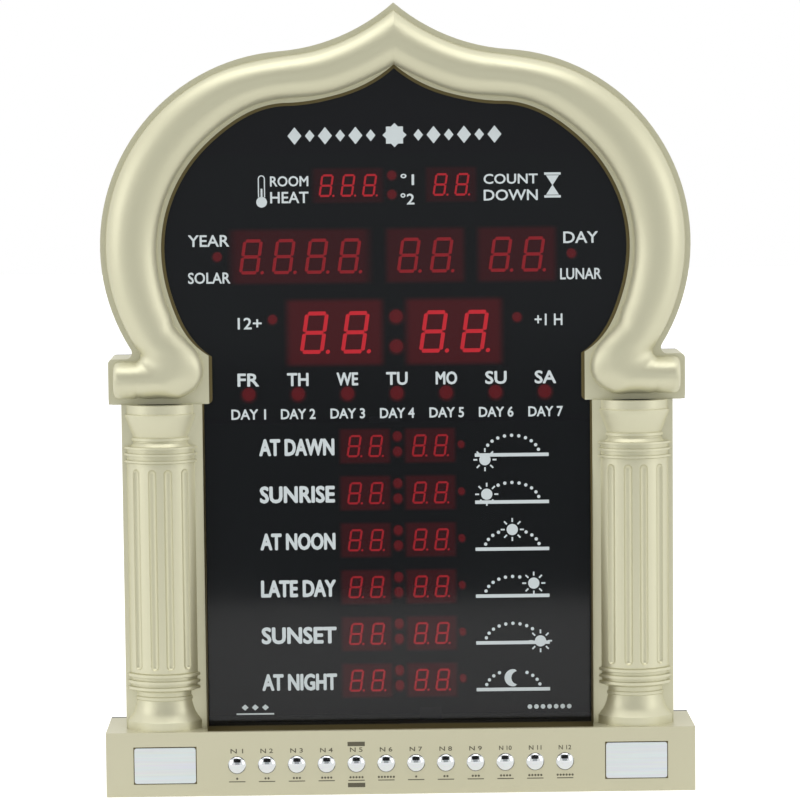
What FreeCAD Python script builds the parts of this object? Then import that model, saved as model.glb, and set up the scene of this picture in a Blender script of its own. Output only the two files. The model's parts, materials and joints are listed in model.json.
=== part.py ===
import FreeCAD
import Part
import Sketcher
import math
import os

# Arched prayer-time clock: a moulded frame on two half columns and a box base, with a
# smoked window, red number displays behind it and a row of push buttons in the base.
# Millimetres, +Z up, front towards -Y, origin under the middle of the box round it.

doc = FreeCAD.newDocument("prayer_clock")

SIZES = [
    # Case
    ("case_width", 373.9),
    ("case_depth", 57.5),
    ("base_height", 41.2),
    ("wall", 2.5),
    ("cover_thick", 3.0),
    # Arch outline: steps are taken in from the side of the case, drops down from above
    ("apex_height", 500.0),
    ("arch_side_step", 0.55),
    ("lobe_radius", 122.6),
    ("lobe_drop", 152.1),
    ("ogee_radius", 124.0),
    ("foot_side_step", 4.25),
    ("foot_drop", 70.55),
    ("foot_tall", 28.9),
    ("foot_overhang", 6.5),
    ("foot_corner", 3.0),
    ("foot_fillet", 4.0),
    # Arch moulding
    ("flange_depth", 18.0),
    ("flange_thick", 2.0),
    ("cushion_rise", 11.5),
    ("cushion_step", 1.0),
    ("cushion_wall", 4.0),
    ("rim_width", 3.6),
    ("band_width", 4.5),
    ("lip_width", 2.0),
    ("run_rise", 15.55),
    ("run_half", 11.6),
    ("run_end_gap", 3.7),
    ("run_end_round", 3.0),
    ("bend_radius", 3.8),
    # Columns
    ("column_in", 36.75),
    ("column_half", 21.5),
    ("column_rise", 12.0),
    ("column_core", 18.5),
    ("strip_depth", 16.0),
    ("strip_near", 26.7),
    ("strip_far", 24.4),
    ("ring_proud", 1.5),
    ("flute_width", 5.0),
    ("flute_sunk", 2.0),
    ("flute_low", 41.5),
    ("flute_high", 43.0),
    # Window
    ("window_thick", 3.0),
    ("window_margin", 5.0),
    # Base plates
    ("plate_width", 38.8),
    ("plate_height", 22.7),
    ("plate_in", 37.35),
    ("plate_level", 20.0),
    ("plate_thick", 1.2),
    ("plate_sunk", 0.8),
    ("plate_corner", 1.5),
    ("plate_groove", 0.6),
    # Buttons
    ("button_count", 12),
    ("button_end_gap", 26.1),
    ("button_level", 19.8),
    ("button_radius", 5.2),
    ("button_gap", 0.45),
    ("button_flange", 6.8),
    ("button_collar", 1.4),
    ("button_stem", 2.2),
    ("button_travel", 0.8),
    ("dome_proud", 2.4),
    ("dome_shoulder", 0.5),
    ("seat_gap", 0.3),
    # Display boards, each level measured from the one above it
    ("board_thick", 1.6),
    ("upper_board_in", 36.95),
    ("upper_board_drop", 95.0),
    ("room_margin", 19.5),
    ("date_step", 44.5),
    ("time_step", 48.5),
    ("weekday_step", 39.3),
    ("weekday_margin", 15.2),
    ("boards_gap", 4.0),
    ("row_margin", 14.1),
    ("last_row_margin", 19.1),
    ("lower_board_lap", 15.2),
    ("lower_board_gap", 8.8),
    # Display modules and lamps
    ("module_deep", 8.0),
    ("module_gap", 0.3),
    ("digit_gap", 1.2),
    ("time_digit_gap", 2.3),
    ("small_digit", 14.2),
    ("date_digit", 22.2),
    ("time_digit", 26.9),
    ("row_pair_side", 20.7),
    ("row_lamp_side", 40.6),
    ("weekday_pitch", 31.4),
    ("big_lamp", 3.75),
    ("middle_lamp", 2.5),
    ("small_lamp", 1.8),
    ("lamp_collar", 0.4),
    ("lamp_gap", 0.2),
    # Screws and bosses
    ("boss_radius", 3.5),
    ("boss_sink", 0.6),
    ("case_boss_long", 16.5),
    ("screw_radius", 1.5),
    ("screw_head", 2.8),
    ("screw_head_thick", 1.8),
    ("screw_play", 0.1),
    ("screw_sunk", 2.0),
    # Switches under the buttons
    ("switch_board_deep", 16.0),
    ("switch_board_end", 7.9),
    ("switch_board_half", 15.75),
    ("switch_board_level", 20.25),
    ("switch_boss_end", 14.1),
    ("switch_boss_half", 11.2),
    ("switch_size", 6.0),
    ("switch_deep", 3.5),
    ("switch_tip", 1.75),
    ("switch_tip_long", 1.5),
    # Controller on the rear cover
    ("control_back_gap", 6.5),
    ("control_half", 58.0),
    ("control_gap", 18.8),
    ("control_tall", 74.0),
    ("control_margin", 6.0),
    # Rear fittings
    ("hanger_spacing", 250.0),
    ("hanger_drop", 128.0),
    ("hanger_entry", 4.5),
    ("hanger_slot", 2.2),
    ("hanger_rise", 9.0),
    ("speaker_side", 60.0),
    ("speaker_radius", 16.0),
    ("grille_pitch", 3.6),
    ("grille_hole", 1.1),
    ("jack_side", -60.0),
    ("jack_width", 9.0),
    ("jack_height", 11.0),
    ("jack_deep", 13.0),
    ("jack_bore", 3.2),
    ("jack_wall", 0.6),
    ("jack_pin", 1.0),
]

# Places that follow from the sizes above
RULES = [
    ("lobe_side", "case_width / 2 - arch_side_step - lobe_radius"),
    ("lobe_height", "apex_height - lobe_drop"),
    ("foot_half", "case_width / 2 - foot_side_step"),
    ("foot_top", "lobe_height - foot_drop"),
    ("foot_bottom", "foot_top - foot_tall"),
    ("run_height", "foot_bottom + run_rise"),
    ("run_end", "foot_half - run_end_gap"),
    ("column_side", "case_width / 2 - column_in"),
    ("strip_inner", "column_side - strip_near"),
    ("strip_outer", "column_side + strip_far"),
    ("foot_inner", "strip_inner - foot_overhang"),
    ("plate_side", "case_width / 2 - plate_in"),
    ("button_end", "plate_side - plate_width / 2 - button_end_gap"),
    ("button_pitch", "2 * button_end / (button_count - 1)"),
    ("button_board_half", "button_end + switch_board_end"),
    ("button_board_low", "switch_board_level - switch_board_half"),
    ("button_board_high", "switch_board_level + switch_board_half"),
    ("upper_board_half", "case_width / 2 - upper_board_in"),
    ("upper_board_high", "apex_height - upper_board_drop"),
    ("room_level", "upper_board_high - room_margin"),
    ("date_level", "room_level - date_step"),
    ("time_level", "date_level - time_step"),
    ("weekday_level", "time_level - weekday_step"),
    ("upper_board_low", "weekday_level - weekday_margin"),
    ("lower_board_half", "strip_inner + lower_board_lap"),
    ("lower_board_high", "upper_board_low - boards_gap"),
    ("lower_board_low", "base_height + lower_board_gap"),
    ("control_low", "base_height + control_gap"),
    ("control_high", "control_low + control_tall"),
    ("control_depth", "case_depth - cover_thick - control_back_gap"),
    ("hanger_level", "apex_height - hanger_drop"),
    ("rear_level", "base_height / 2"),
]

sheet = doc.addObject("Spreadsheet::Sheet", "sizes")
rows = [(alias, str(value)) for alias, value in SIZES]
rows += [(alias, "=" + rule) for alias, rule in RULES]
for row, (alias, content) in enumerate(rows, start=1):
    sheet.set("A%d" % row, alias)
    sheet.set("B%d" % row, content)
    sheet.setAlias("B%d" % row, alias)
doc.recompute()


def size(alias):
    return float(getattr(sheet, alias))


# The front panel of the base lies this far in front of the origin.
FRONT = "(-(sizes.case_depth - sizes.dome_proud) / 2)"
FRONT_Y = -(size("case_depth") - size("dome_proud")) / 2
INSIDE_BACK = size("case_depth") - size("cover_thick")
CASE_HALF = size("case_width") / 2
# A cut passes this far beyond what it cuts, so that no skin is left.
BEYOND = 1.0
WINDOW_FACE = size("flange_depth") + size("flange_thick")
WINDOW_BACK = WINDOW_FACE + size("window_thick")
MODULE_FACE = WINDOW_BACK + size("module_gap")
BOARD_FACE = MODULE_FACE + size("module_deep")
BOARD_BACK = BOARD_FACE + size("board_thick")

nodes = []


def point(side, depth, level):
    """A point by its side, its depth behind the base's front panel and its height."""
    return FreeCAD.Vector(side, FRONT_Y + depth, level)


def keep(feature, label):
    feature.Label = label
    nodes.append(feature)
    return feature


def feature(label, shape):
    """A document object for a shape worked out from the sheet's sizes."""
    result = doc.addObject("Part::Feature", label)
    result.Shape = shape
    return keep(result, label)


def grouped(label, members):
    """One node for a group of separate, identical pieces."""
    group = doc.addObject("Part::Compound", label)
    group.Links = members
    return keep(group, label)


def box(low_side, low_depth, low_level, high_side, high_depth, high_level):
    corner = point(low_side, low_depth, low_level)
    return Part.makeBox(high_side - low_side, high_depth - low_depth, high_level - low_level, corner)


def rod(radius, side, start, end, level):
    """A round bar along the depth."""
    return Part.makeCylinder(radius, end - start, point(side, start, level), FreeCAD.Vector(0, 1, 0))


def extruded(wire, start, end):
    """A plate between two depths whose outline is a flat wire drawn at depth 0."""
    face = Part.Face(wire)
    face.translate(FreeCAD.Vector(0, start, 0))
    return face.extrude(FreeCAD.Vector(0, end - start, 0))


def mirrored(shape):
    return shape.mirror(FreeCAD.Vector(0, 0, 0), FreeCAD.Vector(1, 0, 0))


def both_sides(shape):
    return [shape, mirrored(shape)]


# Body helpers: sketches whose corner points follow the sheet

def new_body(name):
    return doc.addObject("PartDesign::Body", name)


def new_sketch(body, name, plane):
    sketch = body.newObject("Sketcher::SketchObject", name)
    origin_plane = [item for item in body.Origin.OriginFeatures if item.Role == plane][0]
    sketch.AttachmentSupport = [(origin_plane, "")]
    sketch.MapMode = "FlatFace"
    return sketch


def bind_point(sketch, line, end, across, up):
    """Tie a line's end point to two expressions, measured from the sketch's origin."""
    for kind, rule in (("DistanceX", across), ("DistanceY", up)):
        value = float(sketch.evalExpression(rule))
        index = sketch.addConstraint(Sketcher.Constraint(kind, -1, 1, line, end, value))
        sketch.setExpression("Constraints[%d]" % index, rule)


def draw_polygon(sketch, corners):
    """A closed outline of straight lines through corners given as expressions."""
    values = []
    for across, up in corners:
        values.append((float(sketch.evalExpression(across)), float(sketch.evalExpression(up))))
    first = sketch.GeometryCount
    for index, (across, up) in enumerate(values):
        following = values[(index + 1) % len(values)]
        start = FreeCAD.Vector(across, up, 0)
        end = FreeCAD.Vector(following[0], following[1], 0)
        sketch.addGeometry(Part.LineSegment(start, end), False)
    for index, (across, up) in enumerate(corners):
        line = first + index
        before = first + (index - 1) % len(corners)
        sketch.addConstraint(Sketcher.Constraint("Coincident", before, 2, line, 1))
        bind_point(sketch, line, 1, across, up)


def draw_circle(sketch, across, up, radius):
    centre = FreeCAD.Vector(float(sketch.evalExpression(across)), float(sketch.evalExpression(up)), 0)
    circle = Part.Circle(centre, FreeCAD.Vector(0, 0, 1), float(sketch.evalExpression(radius)))
    line = sketch.addGeometry(circle, False)
    bind_point(sketch, line, 3, across, up)
    index = sketch.addConstraint(Sketcher.Constraint("Radius", line, circle.Radius))
    sketch.setExpression("Constraints[%d]" % index, radius)


def rectangle(half_width, low, high):
    """Corner expressions of an upright rectangle centred across."""
    left = "-(%s)" % half_width
    return [(left, low), (half_width, low), (half_width, high), (left, high)]


def pad(body, sketch, length):
    result = body.newObject("PartDesign::Pad", sketch.Name + "_pad")
    result.Profile = sketch
    result.setExpression("Length", length)
    result.Reversed = True
    return result


def pocket(body, sketch, length):
    result = body.newObject("PartDesign::Pocket", sketch.Name + "_cut")
    result.Profile = sketch
    result.setExpression("Length", length)
    result.Reversed = False
    return result


def set_depth(sketch, depth):
    """Move a sketch on the front plane to a depth behind the base's front panel."""
    sketch.setExpression("AttachmentOffset.Base.z", "-(%s + (%s))" % (FRONT, depth))


# Arch outline: convex lobes, concave ogee arcs that meet in a point, and two foot blocks

def arch_points(inset):
    """Named points of the left half of the arch outline, moved inwards by the inset."""
    lobe = (-size("lobe_side"), size("lobe_height"))
    reach = size("lobe_radius") + size("ogee_radius")
    apex = size("apex_height")
    # The ogee's centre lies at the sum of the radii from the lobe's, and a radius from the apex.
    span = math.hypot(lobe[0], apex - lobe[1])
    along = (reach ** 2 - size("ogee_radius") ** 2 + span ** 2) / (2 * span)
    off = math.sqrt(reach ** 2 - along ** 2)
    unit = (-lobe[0] / span, (apex - lobe[1]) / span)
    ogee = (lobe[0] + along * unit[0] - off * unit[1], lobe[1] + along * unit[1] + off * unit[0])
    ogee_radius = size("ogee_radius") + inset
    lobe_radius = size("lobe_radius") - inset
    tip = ogee[1] - math.sqrt(ogee_radius ** 2 - ogee[0] ** 2)
    # A small concave fillet joins the lobe to the top of the foot block.
    fillet_radius = size("foot_fillet") + inset
    fillet_level = size("foot_top") + size("foot_fillet")
    centres = size("lobe_radius") + size("foot_fillet")
    fillet_side = lobe[0] - math.sqrt(centres ** 2 - (lobe[1] - fillet_level) ** 2)
    fillet = (fillet_side, fillet_level)
    return {
        "lobe": lobe, "ogee": ogee, "fillet": fillet, "tip": (0.0, tip),
        "lobe_radius": lobe_radius, "ogee_radius": ogee_radius, "fillet_radius": fillet_radius,
    }


def towards(start, end, distance):
    """The point at a distance from start on the way to end."""
    span = math.hypot(end[0] - start[0], end[1] - start[1])
    share = distance / span
    return (start[0] + share * (end[0] - start[0]), start[1] + share * (end[1] - start[1]))


def angle_of(start, end):
    return math.atan2(end[1] - start[1], end[0] - start[0])


def turned(centre, radius, angle):
    return (centre[0] + radius * math.cos(angle), centre[1] + radius * math.sin(angle))


def arc(first, middle, last):
    return Part.Arc(point(first[0], 0, first[1]), point(middle[0], 0, middle[1]),
                    point(last[0], 0, last[1])).toShape()


def straight(first, last):
    return Part.LineSegment(point(first[0], 0, first[1]), point(last[0], 0, last[1])).toShape()


def mirror_edges(edges):
    return edges + [mirrored(edge) for edge in edges]


def arch_wire(inset, bottom):
    """The arch outline as one wire, closed by a straight line at the bottom level."""
    spots = arch_points(inset)
    tangent = towards(spots["lobe"], spots["ogee"], spots["lobe_radius"])
    ogee_mid = turned(spots["ogee"], spots["ogee_radius"],
                      (angle_of(spots["ogee"], spots["tip"]) + angle_of(spots["ogee"], tangent)) / 2)
    meet = towards(spots["lobe"], spots["fillet"], spots["lobe_radius"])
    lobe_mid = turned(spots["lobe"], spots["lobe_radius"], math.pi)
    fillet_end = (spots["fillet"][0], spots["fillet"][1] - spots["fillet_radius"])
    start_angle = angle_of(spots["fillet"], meet)
    fillet_mid = turned(spots["fillet"], spots["fillet_radius"], (start_angle - math.pi / 2) / 2)
    edge = -size("foot_half") + inset
    top = size("foot_top") - inset
    corner = max(size("foot_corner") - inset, 0.5)
    diagonal = corner * (1 - math.sqrt(0.5))
    edges = [
        arc(spots["tip"], ogee_mid, tangent),
        arc(tangent, lobe_mid, meet),
        arc(meet, fillet_mid, fillet_end),
        straight(fillet_end, (edge + corner, top)),
        arc((edge + corner, top), (edge + diagonal, top - diagonal), (edge, top - corner)),
        straight((edge, top - corner), (edge, bottom)),
    ]
    closing = straight((edge, bottom), (-edge, bottom))
    return Part.Wire(Part.__sortEdges__(mirror_edges(edges) + [closing]))


# How wide the moulding is, from its outer edge to the window opening. Turns are in degrees
# round the lobe's centre, where 180 points straight out to the side. Shares run along the
# ogee, from the point of the arch at 0 to the lobe at 1.
LOBE_WIDTHS = [(112, 36.5), (121, 38.3), (130, 39.5), (140, 40.2), (150, 40.6), (161, 40.7),
               (172, 40.6), (181, 40.4), (190, 40.0), (198, 39.3), (205, 38.4), (210, 37.4)]
BEND_START_WIDTH = 36.0
JOIN_WIDTH = 34.4
OGEE_WIDTHS = [(0.8, 35.2), (0.6, 35.6), (0.4, 35.9), (0.2, 35.3), (0.0, 33.3)]
OGEE_MOULDING = 35.9
OPENING_STEP = 0.9


def ogee_turn(share, width):
    """The turn round the ogee's centre at a share of the way from the middle to the lobe, on an
    arc that lies a width inside the outer edge."""
    spots = arch_points(0.0)
    middle = -math.acos(-spots["ogee"][0] / (size("ogee_radius") + width))
    return middle + share * (angle_of(spots["ogee"], spots["lobe"]) - middle)


def opening_points():
    """The left half of the opening as two runs of points: up the side, then to the middle."""
    spots = arch_points(0.0)
    side = [(-size("foot_inner"), size("foot_top") + OPENING_STEP)]
    for degrees, width in reversed(LOBE_WIDTHS):
        side.append(turned(spots["lobe"], size("lobe_radius") - width, math.radians(degrees)))
    join = turned(spots["lobe"], size("lobe_radius") - JOIN_WIDTH, angle_of(spots["lobe"], spots["ogee"]))
    side.append(join)
    crown = [join]
    for share, width in OGEE_WIDTHS:
        turn = ogee_turn(share, OGEE_WIDTHS[-1][1])
        crown.append(turned(spots["ogee"], size("ogee_radius") + width, turn))
    before, last = crown[-2], crown[-1]
    slope = (last[1] - before[1]) / (last[0] - before[0])
    crown[-1] = (0.0, last[1] - slope * last[0])
    return side, crown


def spline(points):
    curve = Part.BSplineCurve()
    curve.interpolate([point(side, 0, level) for side, level in points])
    return curve


def moved_out(points, outset):
    """The points of a spline, each moved square to the spline and away from the opening."""
    curve = spline(points)
    result = []
    for side, level in points:
        tangent = curve.tangent(curve.parameter(point(side, 0, level)))[0]
        result.append((side - tangent.z * outset, level + tangent.x * outset))
    return result


def opening_wire(bottom, outset):
    """The window opening as one wire that runs down past the foot blocks, or an outline
    a little larger than it."""
    edge = -size("foot_inner") - outset
    side_points, crown_points = opening_points()
    crown = moved_out(crown_points, outset)
    # The crown's last point slides along its own line to the middle.
    before, last = crown[-2], crown[-1]
    slope = (last[1] - before[1]) / (last[0] - before[0])
    crown[-1] = (0.0, last[1] - slope * last[0])
    side = moved_out(side_points, outset)
    # A corner of the outline moves up by less than the outset, because it is blunt.
    side[0] = (edge, side_points[0][1] + outset * 0.4)
    side[-1] = crown[0]
    edges = [
        spline(crown).toShape(),
        spline(side).toShape(),
        straight(side[0], (edge, bottom)),
    ]
    closing = straight((edge, bottom), (-edge, bottom))
    return Part.Wire(Part.__sortEdges__(mirror_edges(edges) + [closing]))


# Cushion: the raised moulding, lofted through cross-sections square to its path

def cushion_section(centre, angle, outer, inner, rise, inset, sunk):
    """A half-oval cross-section between two radii from a centre, on a plane through it."""
    radial = FreeCAD.Vector(math.cos(angle), 0, math.sin(angle))
    front = FreeCAD.Vector(0, -1, 0)
    inwards = radial * (1 if inner > outer else -1)
    middle = point(centre[0], size("flange_depth") - size("cushion_step"), centre[1])
    middle = middle + radial * ((outer + inner) / 2)
    half = abs(inner - outer) / 2 - inset
    high = rise - inset
    left = middle - inwards * half
    right = middle + inwards * half
    crest = middle + front * high
    slope = math.sqrt(0.5)
    left_mid = middle - inwards * (half * slope) + front * (high * slope)
    right_mid = middle + inwards * (half * slope) + front * (high * slope)
    left_foot = left - front * sunk
    right_foot = right - front * sunk
    first = Part.BSplineCurve()
    first.interpolate([left, left_mid, crest], InitialTangent=front * high, FinalTangent=inwards * half)
    second = Part.BSplineCurve()
    second.interpolate([crest, right_mid, right], InitialTangent=inwards * half, FinalTangent=front * -high)
    return Part.Wire([
        Part.LineSegment(left_foot, left).toShape(),
        first.toShape(),
        second.toShape(),
        Part.LineSegment(right, right_foot).toShape(),
        Part.LineSegment(right_foot, left_foot).toShape(),
    ])


# How far the cushion reaches from the bend's centre, at turns in degrees round it, where
# 0 points to the window and -90 down.
BEND_REACHES = [(15, 35.0), (6, 38.5), (-3, 42.0), (-11, 44.0), (-20, 44.9), (-28, 44.0),
                (-36, 41.6), (-44, 38.9), (-54, 33.4), (-66, 29.6), (-79, 27.5)]


def bend_centre():
    level = size("run_height") + size("run_half") + size("bend_radius")
    reach = size("lobe_radius") - size("rim_width") + size("bend_radius")
    drop = size("lobe_height") - level
    return (-size("lobe_side") - math.sqrt(reach ** 2 - drop ** 2), level)


def cushion(inset, sunk, past_tip):
    """The left half of the cushion, from beyond the arch's point to the end of the foot run."""
    spots = arch_points(0.0)
    lobe = spots["lobe"]
    ogee = spots["ogee"]
    rise = size("cushion_rise")
    outer = size("lobe_radius") - size("rim_width")
    ogee_outer = size("ogee_radius") + size("rim_width")
    band = size("band_width")
    sections = []
    inner = size("ogee_radius") + OGEE_MOULDING - band
    for share in (-past_tip, 0.0, 0.25, 0.5, 0.75):
        turn = ogee_turn(share, 0.0)
        sections.append(cushion_section(ogee, turn, ogee_outer, inner, rise, inset, sunk))
    inner = size("lobe_radius") - JOIN_WIDTH + band
    join = angle_of(lobe, ogee)
    sections.append(cushion_section(lobe, join, outer, inner, rise, inset, sunk))
    for degrees, width in LOBE_WIDTHS:
        inner = size("lobe_radius") - width + band
        sections.append(cushion_section(lobe, math.radians(degrees), outer, inner, rise, inset, sunk))
    bend = bend_centre()
    near = size("bend_radius")
    first_reach = near + BEND_START_WIDTH - size("rim_width") - band
    start = angle_of(bend, lobe)
    sections.append(cushion_section(bend, start, near, first_reach, rise, inset, sunk))
    for degrees, reach in BEND_REACHES:
        sections.append(cushion_section(bend, math.radians(degrees), near, reach, rise, inset, sunk))
    far = near + 2 * size("run_half")
    sections.append(cushion_section(bend, -math.pi / 2, near, far, rise, inset, sunk))
    body = Part.makeLoft(sections, True, False, False)
    run = cushion_section(bend, -math.pi / 2, near, far, rise, inset, sunk)
    rounding = size("run_end_round")
    length = size("run_end") + bend[0] - rounding - inset
    run_solid = Part.Face(run).extrude(FreeCAD.Vector(-length, 0, 0))
    parts = [body, run_solid]
    if inset == 0.0:
        # The run ends in a face drawn in by a rounded edge: each step goes this share of the
        # rounding outwards and draws the section in by the other.
        steps = [run]
        for outwards, drawn_in in ((0.0, 0.0), (0.67, 0.25), (1.0, 0.85)):
            pull = drawn_in * rounding
            step = cushion_section(bend, -math.pi / 2, near + pull, far - pull, rise - pull, 0.0, sunk)
            step.translate(FreeCAD.Vector(-length - outwards * rounding, 0, 0))
            steps.append(step)
        parts.append(Part.makeLoft(steps[1:], True, True, False))
    return parts


def foot_corners():
    """What the rounding takes off the two lower corners of the left foot block."""
    radius = size("foot_corner")
    bottom = size("foot_bottom")
    scraps = []
    for corner, way in ((-size("foot_half"), 1), (-size("foot_inner"), -1)):
        centre = corner + way * radius
        low, high = min(corner, centre), max(corner, centre)
        square = box(low - BEYOND if way > 0 else low, size("flange_depth") - BEYOND, bottom - BEYOND,
                     high if way > 0 else high + BEYOND, WINDOW_FACE, bottom + radius)
        quarter = rod(radius, centre, size("flange_depth") - BEYOND, WINDOW_FACE, bottom + radius)
        scraps.append(square.cut(quarter))
    return Part.makeCompound(scraps)


def build_arch_frame():
    flange = size("flange_depth")
    thick = size("flange_thick")
    bottom = size("foot_bottom")
    shell = extruded(arch_wire(0.0, bottom), flange, INSIDE_BACK)
    room = extruded(arch_wire(size("wall"), bottom - BEYOND), flange + thick, INSIDE_BACK + BEYOND)
    opening = extruded(opening_wire(bottom - BEYOND, 0.0), flange - BEYOND, flange + thick + BEYOND)
    shell = shell.cut(room).cut(both_sides(foot_corners()))
    # A lip runs round the opening, half the flange's thickness below its face.
    lip = extruded(opening_wire(bottom - BEYOND, size("lip_width")), flange - BEYOND, flange + thick / 2)
    deep = size("case_depth")
    left_half = box(-size("case_width"), -deep, 0.0, 0.0, deep, 2 * size("apex_height"))
    raised = cushion(0.0, size("cushion_step") + 0.5, 0.25)
    hollow = cushion(size("cushion_wall"), size("cushion_step") + thick + 0.5, 0.25)
    solid = raised[0].fuse(raised[1:]).common(left_half)
    void = hollow[0].fuse(hollow[1:]).common(left_half)
    frame = shell.fuse(both_sides(solid))
    frame = frame.cut([opening, lip])
    frame = frame.cut(both_sides(void))
    start = flange - size("cushion_rise") / 2
    frame = frame.fuse([boss(side, level, start, BOARD_FACE) for side, level in UPPER_BOSSES])
    frame = frame.fuse([boss(side, level, CASE_BOSS_FROM, INSIDE_BACK) for side, level in ARCH_CASE_BOSSES])
    holes = [screw_hole(side, level, BOARD_FACE, BOARD_HOLE) for side, level in UPPER_BOSSES]
    holes += [screw_hole(side, level, INSIDE_BACK, CASE_HOLE) for side, level in ARCH_CASE_BOSSES]
    return frame.cut(holes).removeSplitter()


# Screw bosses

CASE_BOSS_FROM = INSIDE_BACK - size("case_boss_long")
CONTROL_BACK = size("control_depth")
CONTROL_FRONT = CONTROL_BACK - size("board_thick")
BOARD_SCREW = 9.0
BOARD_HOLE = 9.0
CASE_SCREW = 10.0
CASE_HOLE = 12.0
SWITCH_SCREW = 8.0
CONTROL_SCREW = 5.5


def mirror_spots(spots):
    """Pairs of spots, left and right, from those on the right."""
    return [(sign * side, level) for side, level in spots for sign in (-1, 1)]


def board_spots():
    """Where the screws of the display boards stand, from each board's own edges."""
    half = size("upper_board_half")
    upper = [(half - 8.0, size("upper_board_low") + 20.6), (half - 5.0, size("upper_board_high") - 13.0)]
    half = size("lower_board_half") - 6.0
    low = size("lower_board_low") + 10.0
    high = size("lower_board_high") - 10.0
    return mirror_spots(upper), mirror_spots([(half, low), (half, (low + high) / 2), (half, high)])


def control_spots():
    margin = size("control_margin")
    side = size("control_half") - margin
    return mirror_spots([(side, size("control_low") + margin), (side, size("control_high") - margin)])


def switch_spots():
    side = size("button_end") - size("switch_boss_end")
    half = size("switch_boss_half")
    level = size("button_level")
    return [(place, level + rise) for rise in (half, -half) for place in (-side, 0.0, side)]


UPPER_BOSSES, LOWER_BOSSES = board_spots()
CONTROL_BOSSES = control_spots()
SWITCH_BOSSES = switch_spots()


# A boss at an outer wall sinks a little into it, so that the two are one.
BOSS_IN = size("wall") + size("boss_radius") - size("boss_sink")


def wall_boss_side(level):
    """Where a boss stands against the inside of the lobe's outer wall at a height."""
    reach = size("lobe_radius") - BOSS_IN
    return size("lobe_side") + math.sqrt(reach ** 2 - (level - size("lobe_height")) ** 2)


def apex_boss_level():
    """Where a boss stands in the point of the arch, against both ogee walls."""
    centre = arch_points(0.0)["ogee"]
    reach = size("ogee_radius") + BOSS_IN
    return centre[1] - math.sqrt(reach ** 2 - centre[0] ** 2)


ARCH_CASE_BOSSES = [(0.0, apex_boss_level())]
for boss_level in (size("lobe_height") - 27.9, size("lobe_height") + 82.1):
    ARCH_CASE_BOSSES += mirror_spots([(wall_boss_side(boss_level), boss_level)])
COLUMN_BOSS_SIDE = size("strip_outer") - BOSS_IN
COLUMN_CASE_LEVELS = (size("base_height") + 38.8, size("foot_bottom") - 35.9)
BASE_BOSS_SIDE = CASE_HALF - BOSS_IN


def boss(side, level, start, end):
    return rod(size("boss_radius"), side, start, end, level)


def screw_hole(side, level, face, length):
    """A blind hole for a screw that comes from behind."""
    return rod(size("screw_radius") + size("screw_play"), side, face - length, face + BEYOND, level)


def screw(side, level, face, length):
    """A pan-head screw driven towards the front, its head seated on a face."""
    thick = size("screw_head_thick")
    end = face + thick
    shank = rod(size("screw_radius"), side, face - length, face, level)
    head = rod(size("screw_head"), side, face, end, level)
    rim = [edge for edge in head.Edges
           if len(edge.Vertexes) == 1 and edge.CenterOfMass.y > FRONT_Y + end - 0.1]
    head = head.makeFillet(0.4 * thick, rim)
    # A cross recess takes the screwdriver.
    long, narrow = 0.78 * size("screw_head"), 0.35
    cross = [box(side - wide, face + 0.55 * thick, level - tall, side + wide, end + BEYOND, level + tall)
             for wide, tall in ((long, narrow), (narrow, long))]
    return shank.fuse(head).cut(cross).removeSplitter()


# Columns: a turned half round on a flat strip, with a capital, rings, flutes and a base

def column_profile():
    """Half-widths up the column, as pairs of half-width and height."""
    top = size("foot_bottom")
    low = size("base_height")
    shaft = size("column_half")
    ring = shaft + size("ring_proud")
    rows = [(shaft + 2.1, low), (shaft + 2.1, low + 5.4), (shaft + 1.3, low + 6.4)]
    rows += [(19.6, low + 11.0), (18.1, low + 15.6), (17.4, low + 18.6)]
    rows += [(18.0, low + 19.1), (18.0, low + 20.9), (17.2, low + 21.4), (17.2, low + 24.0)]
    rows += [(21.4, low + 25.4)]
    for start in (25.9, 29.9, 34.2):
        rows += [(ring, low + start), (ring, low + start + 1.7), (shaft - 0.4, low + start + 2.0)]
        if start < 34.0:
            rows.append((shaft - 0.4, low + start + 3.7))
    rows += [(shaft, low + 36.6), (shaft, top - 36.8)]
    for start in (36.6, 32.2, 28.0):
        rows += [(shaft - 0.2, top - start), (ring, top - start + 0.3), (ring, top - start + 1.6)]
        if start > 28.0:
            rows.append((shaft - 0.2, top - start + 1.9))
    rows += [(18.8, top - 26.2), (16.9, top - 23.9), (16.9, top - 23.0)]
    rows += [(18.2, top - 22.6), (18.2, top - 21.0), (17.0, top - 20.4)]
    rows += [(18.6, top - 16.5), (20.6, top - 11.5), (22.2, top - 7.0), (22.3, top - 6.0)]
    rows += [(21.1, top - 5.6), (21.1, top)]
    return rows


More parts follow.
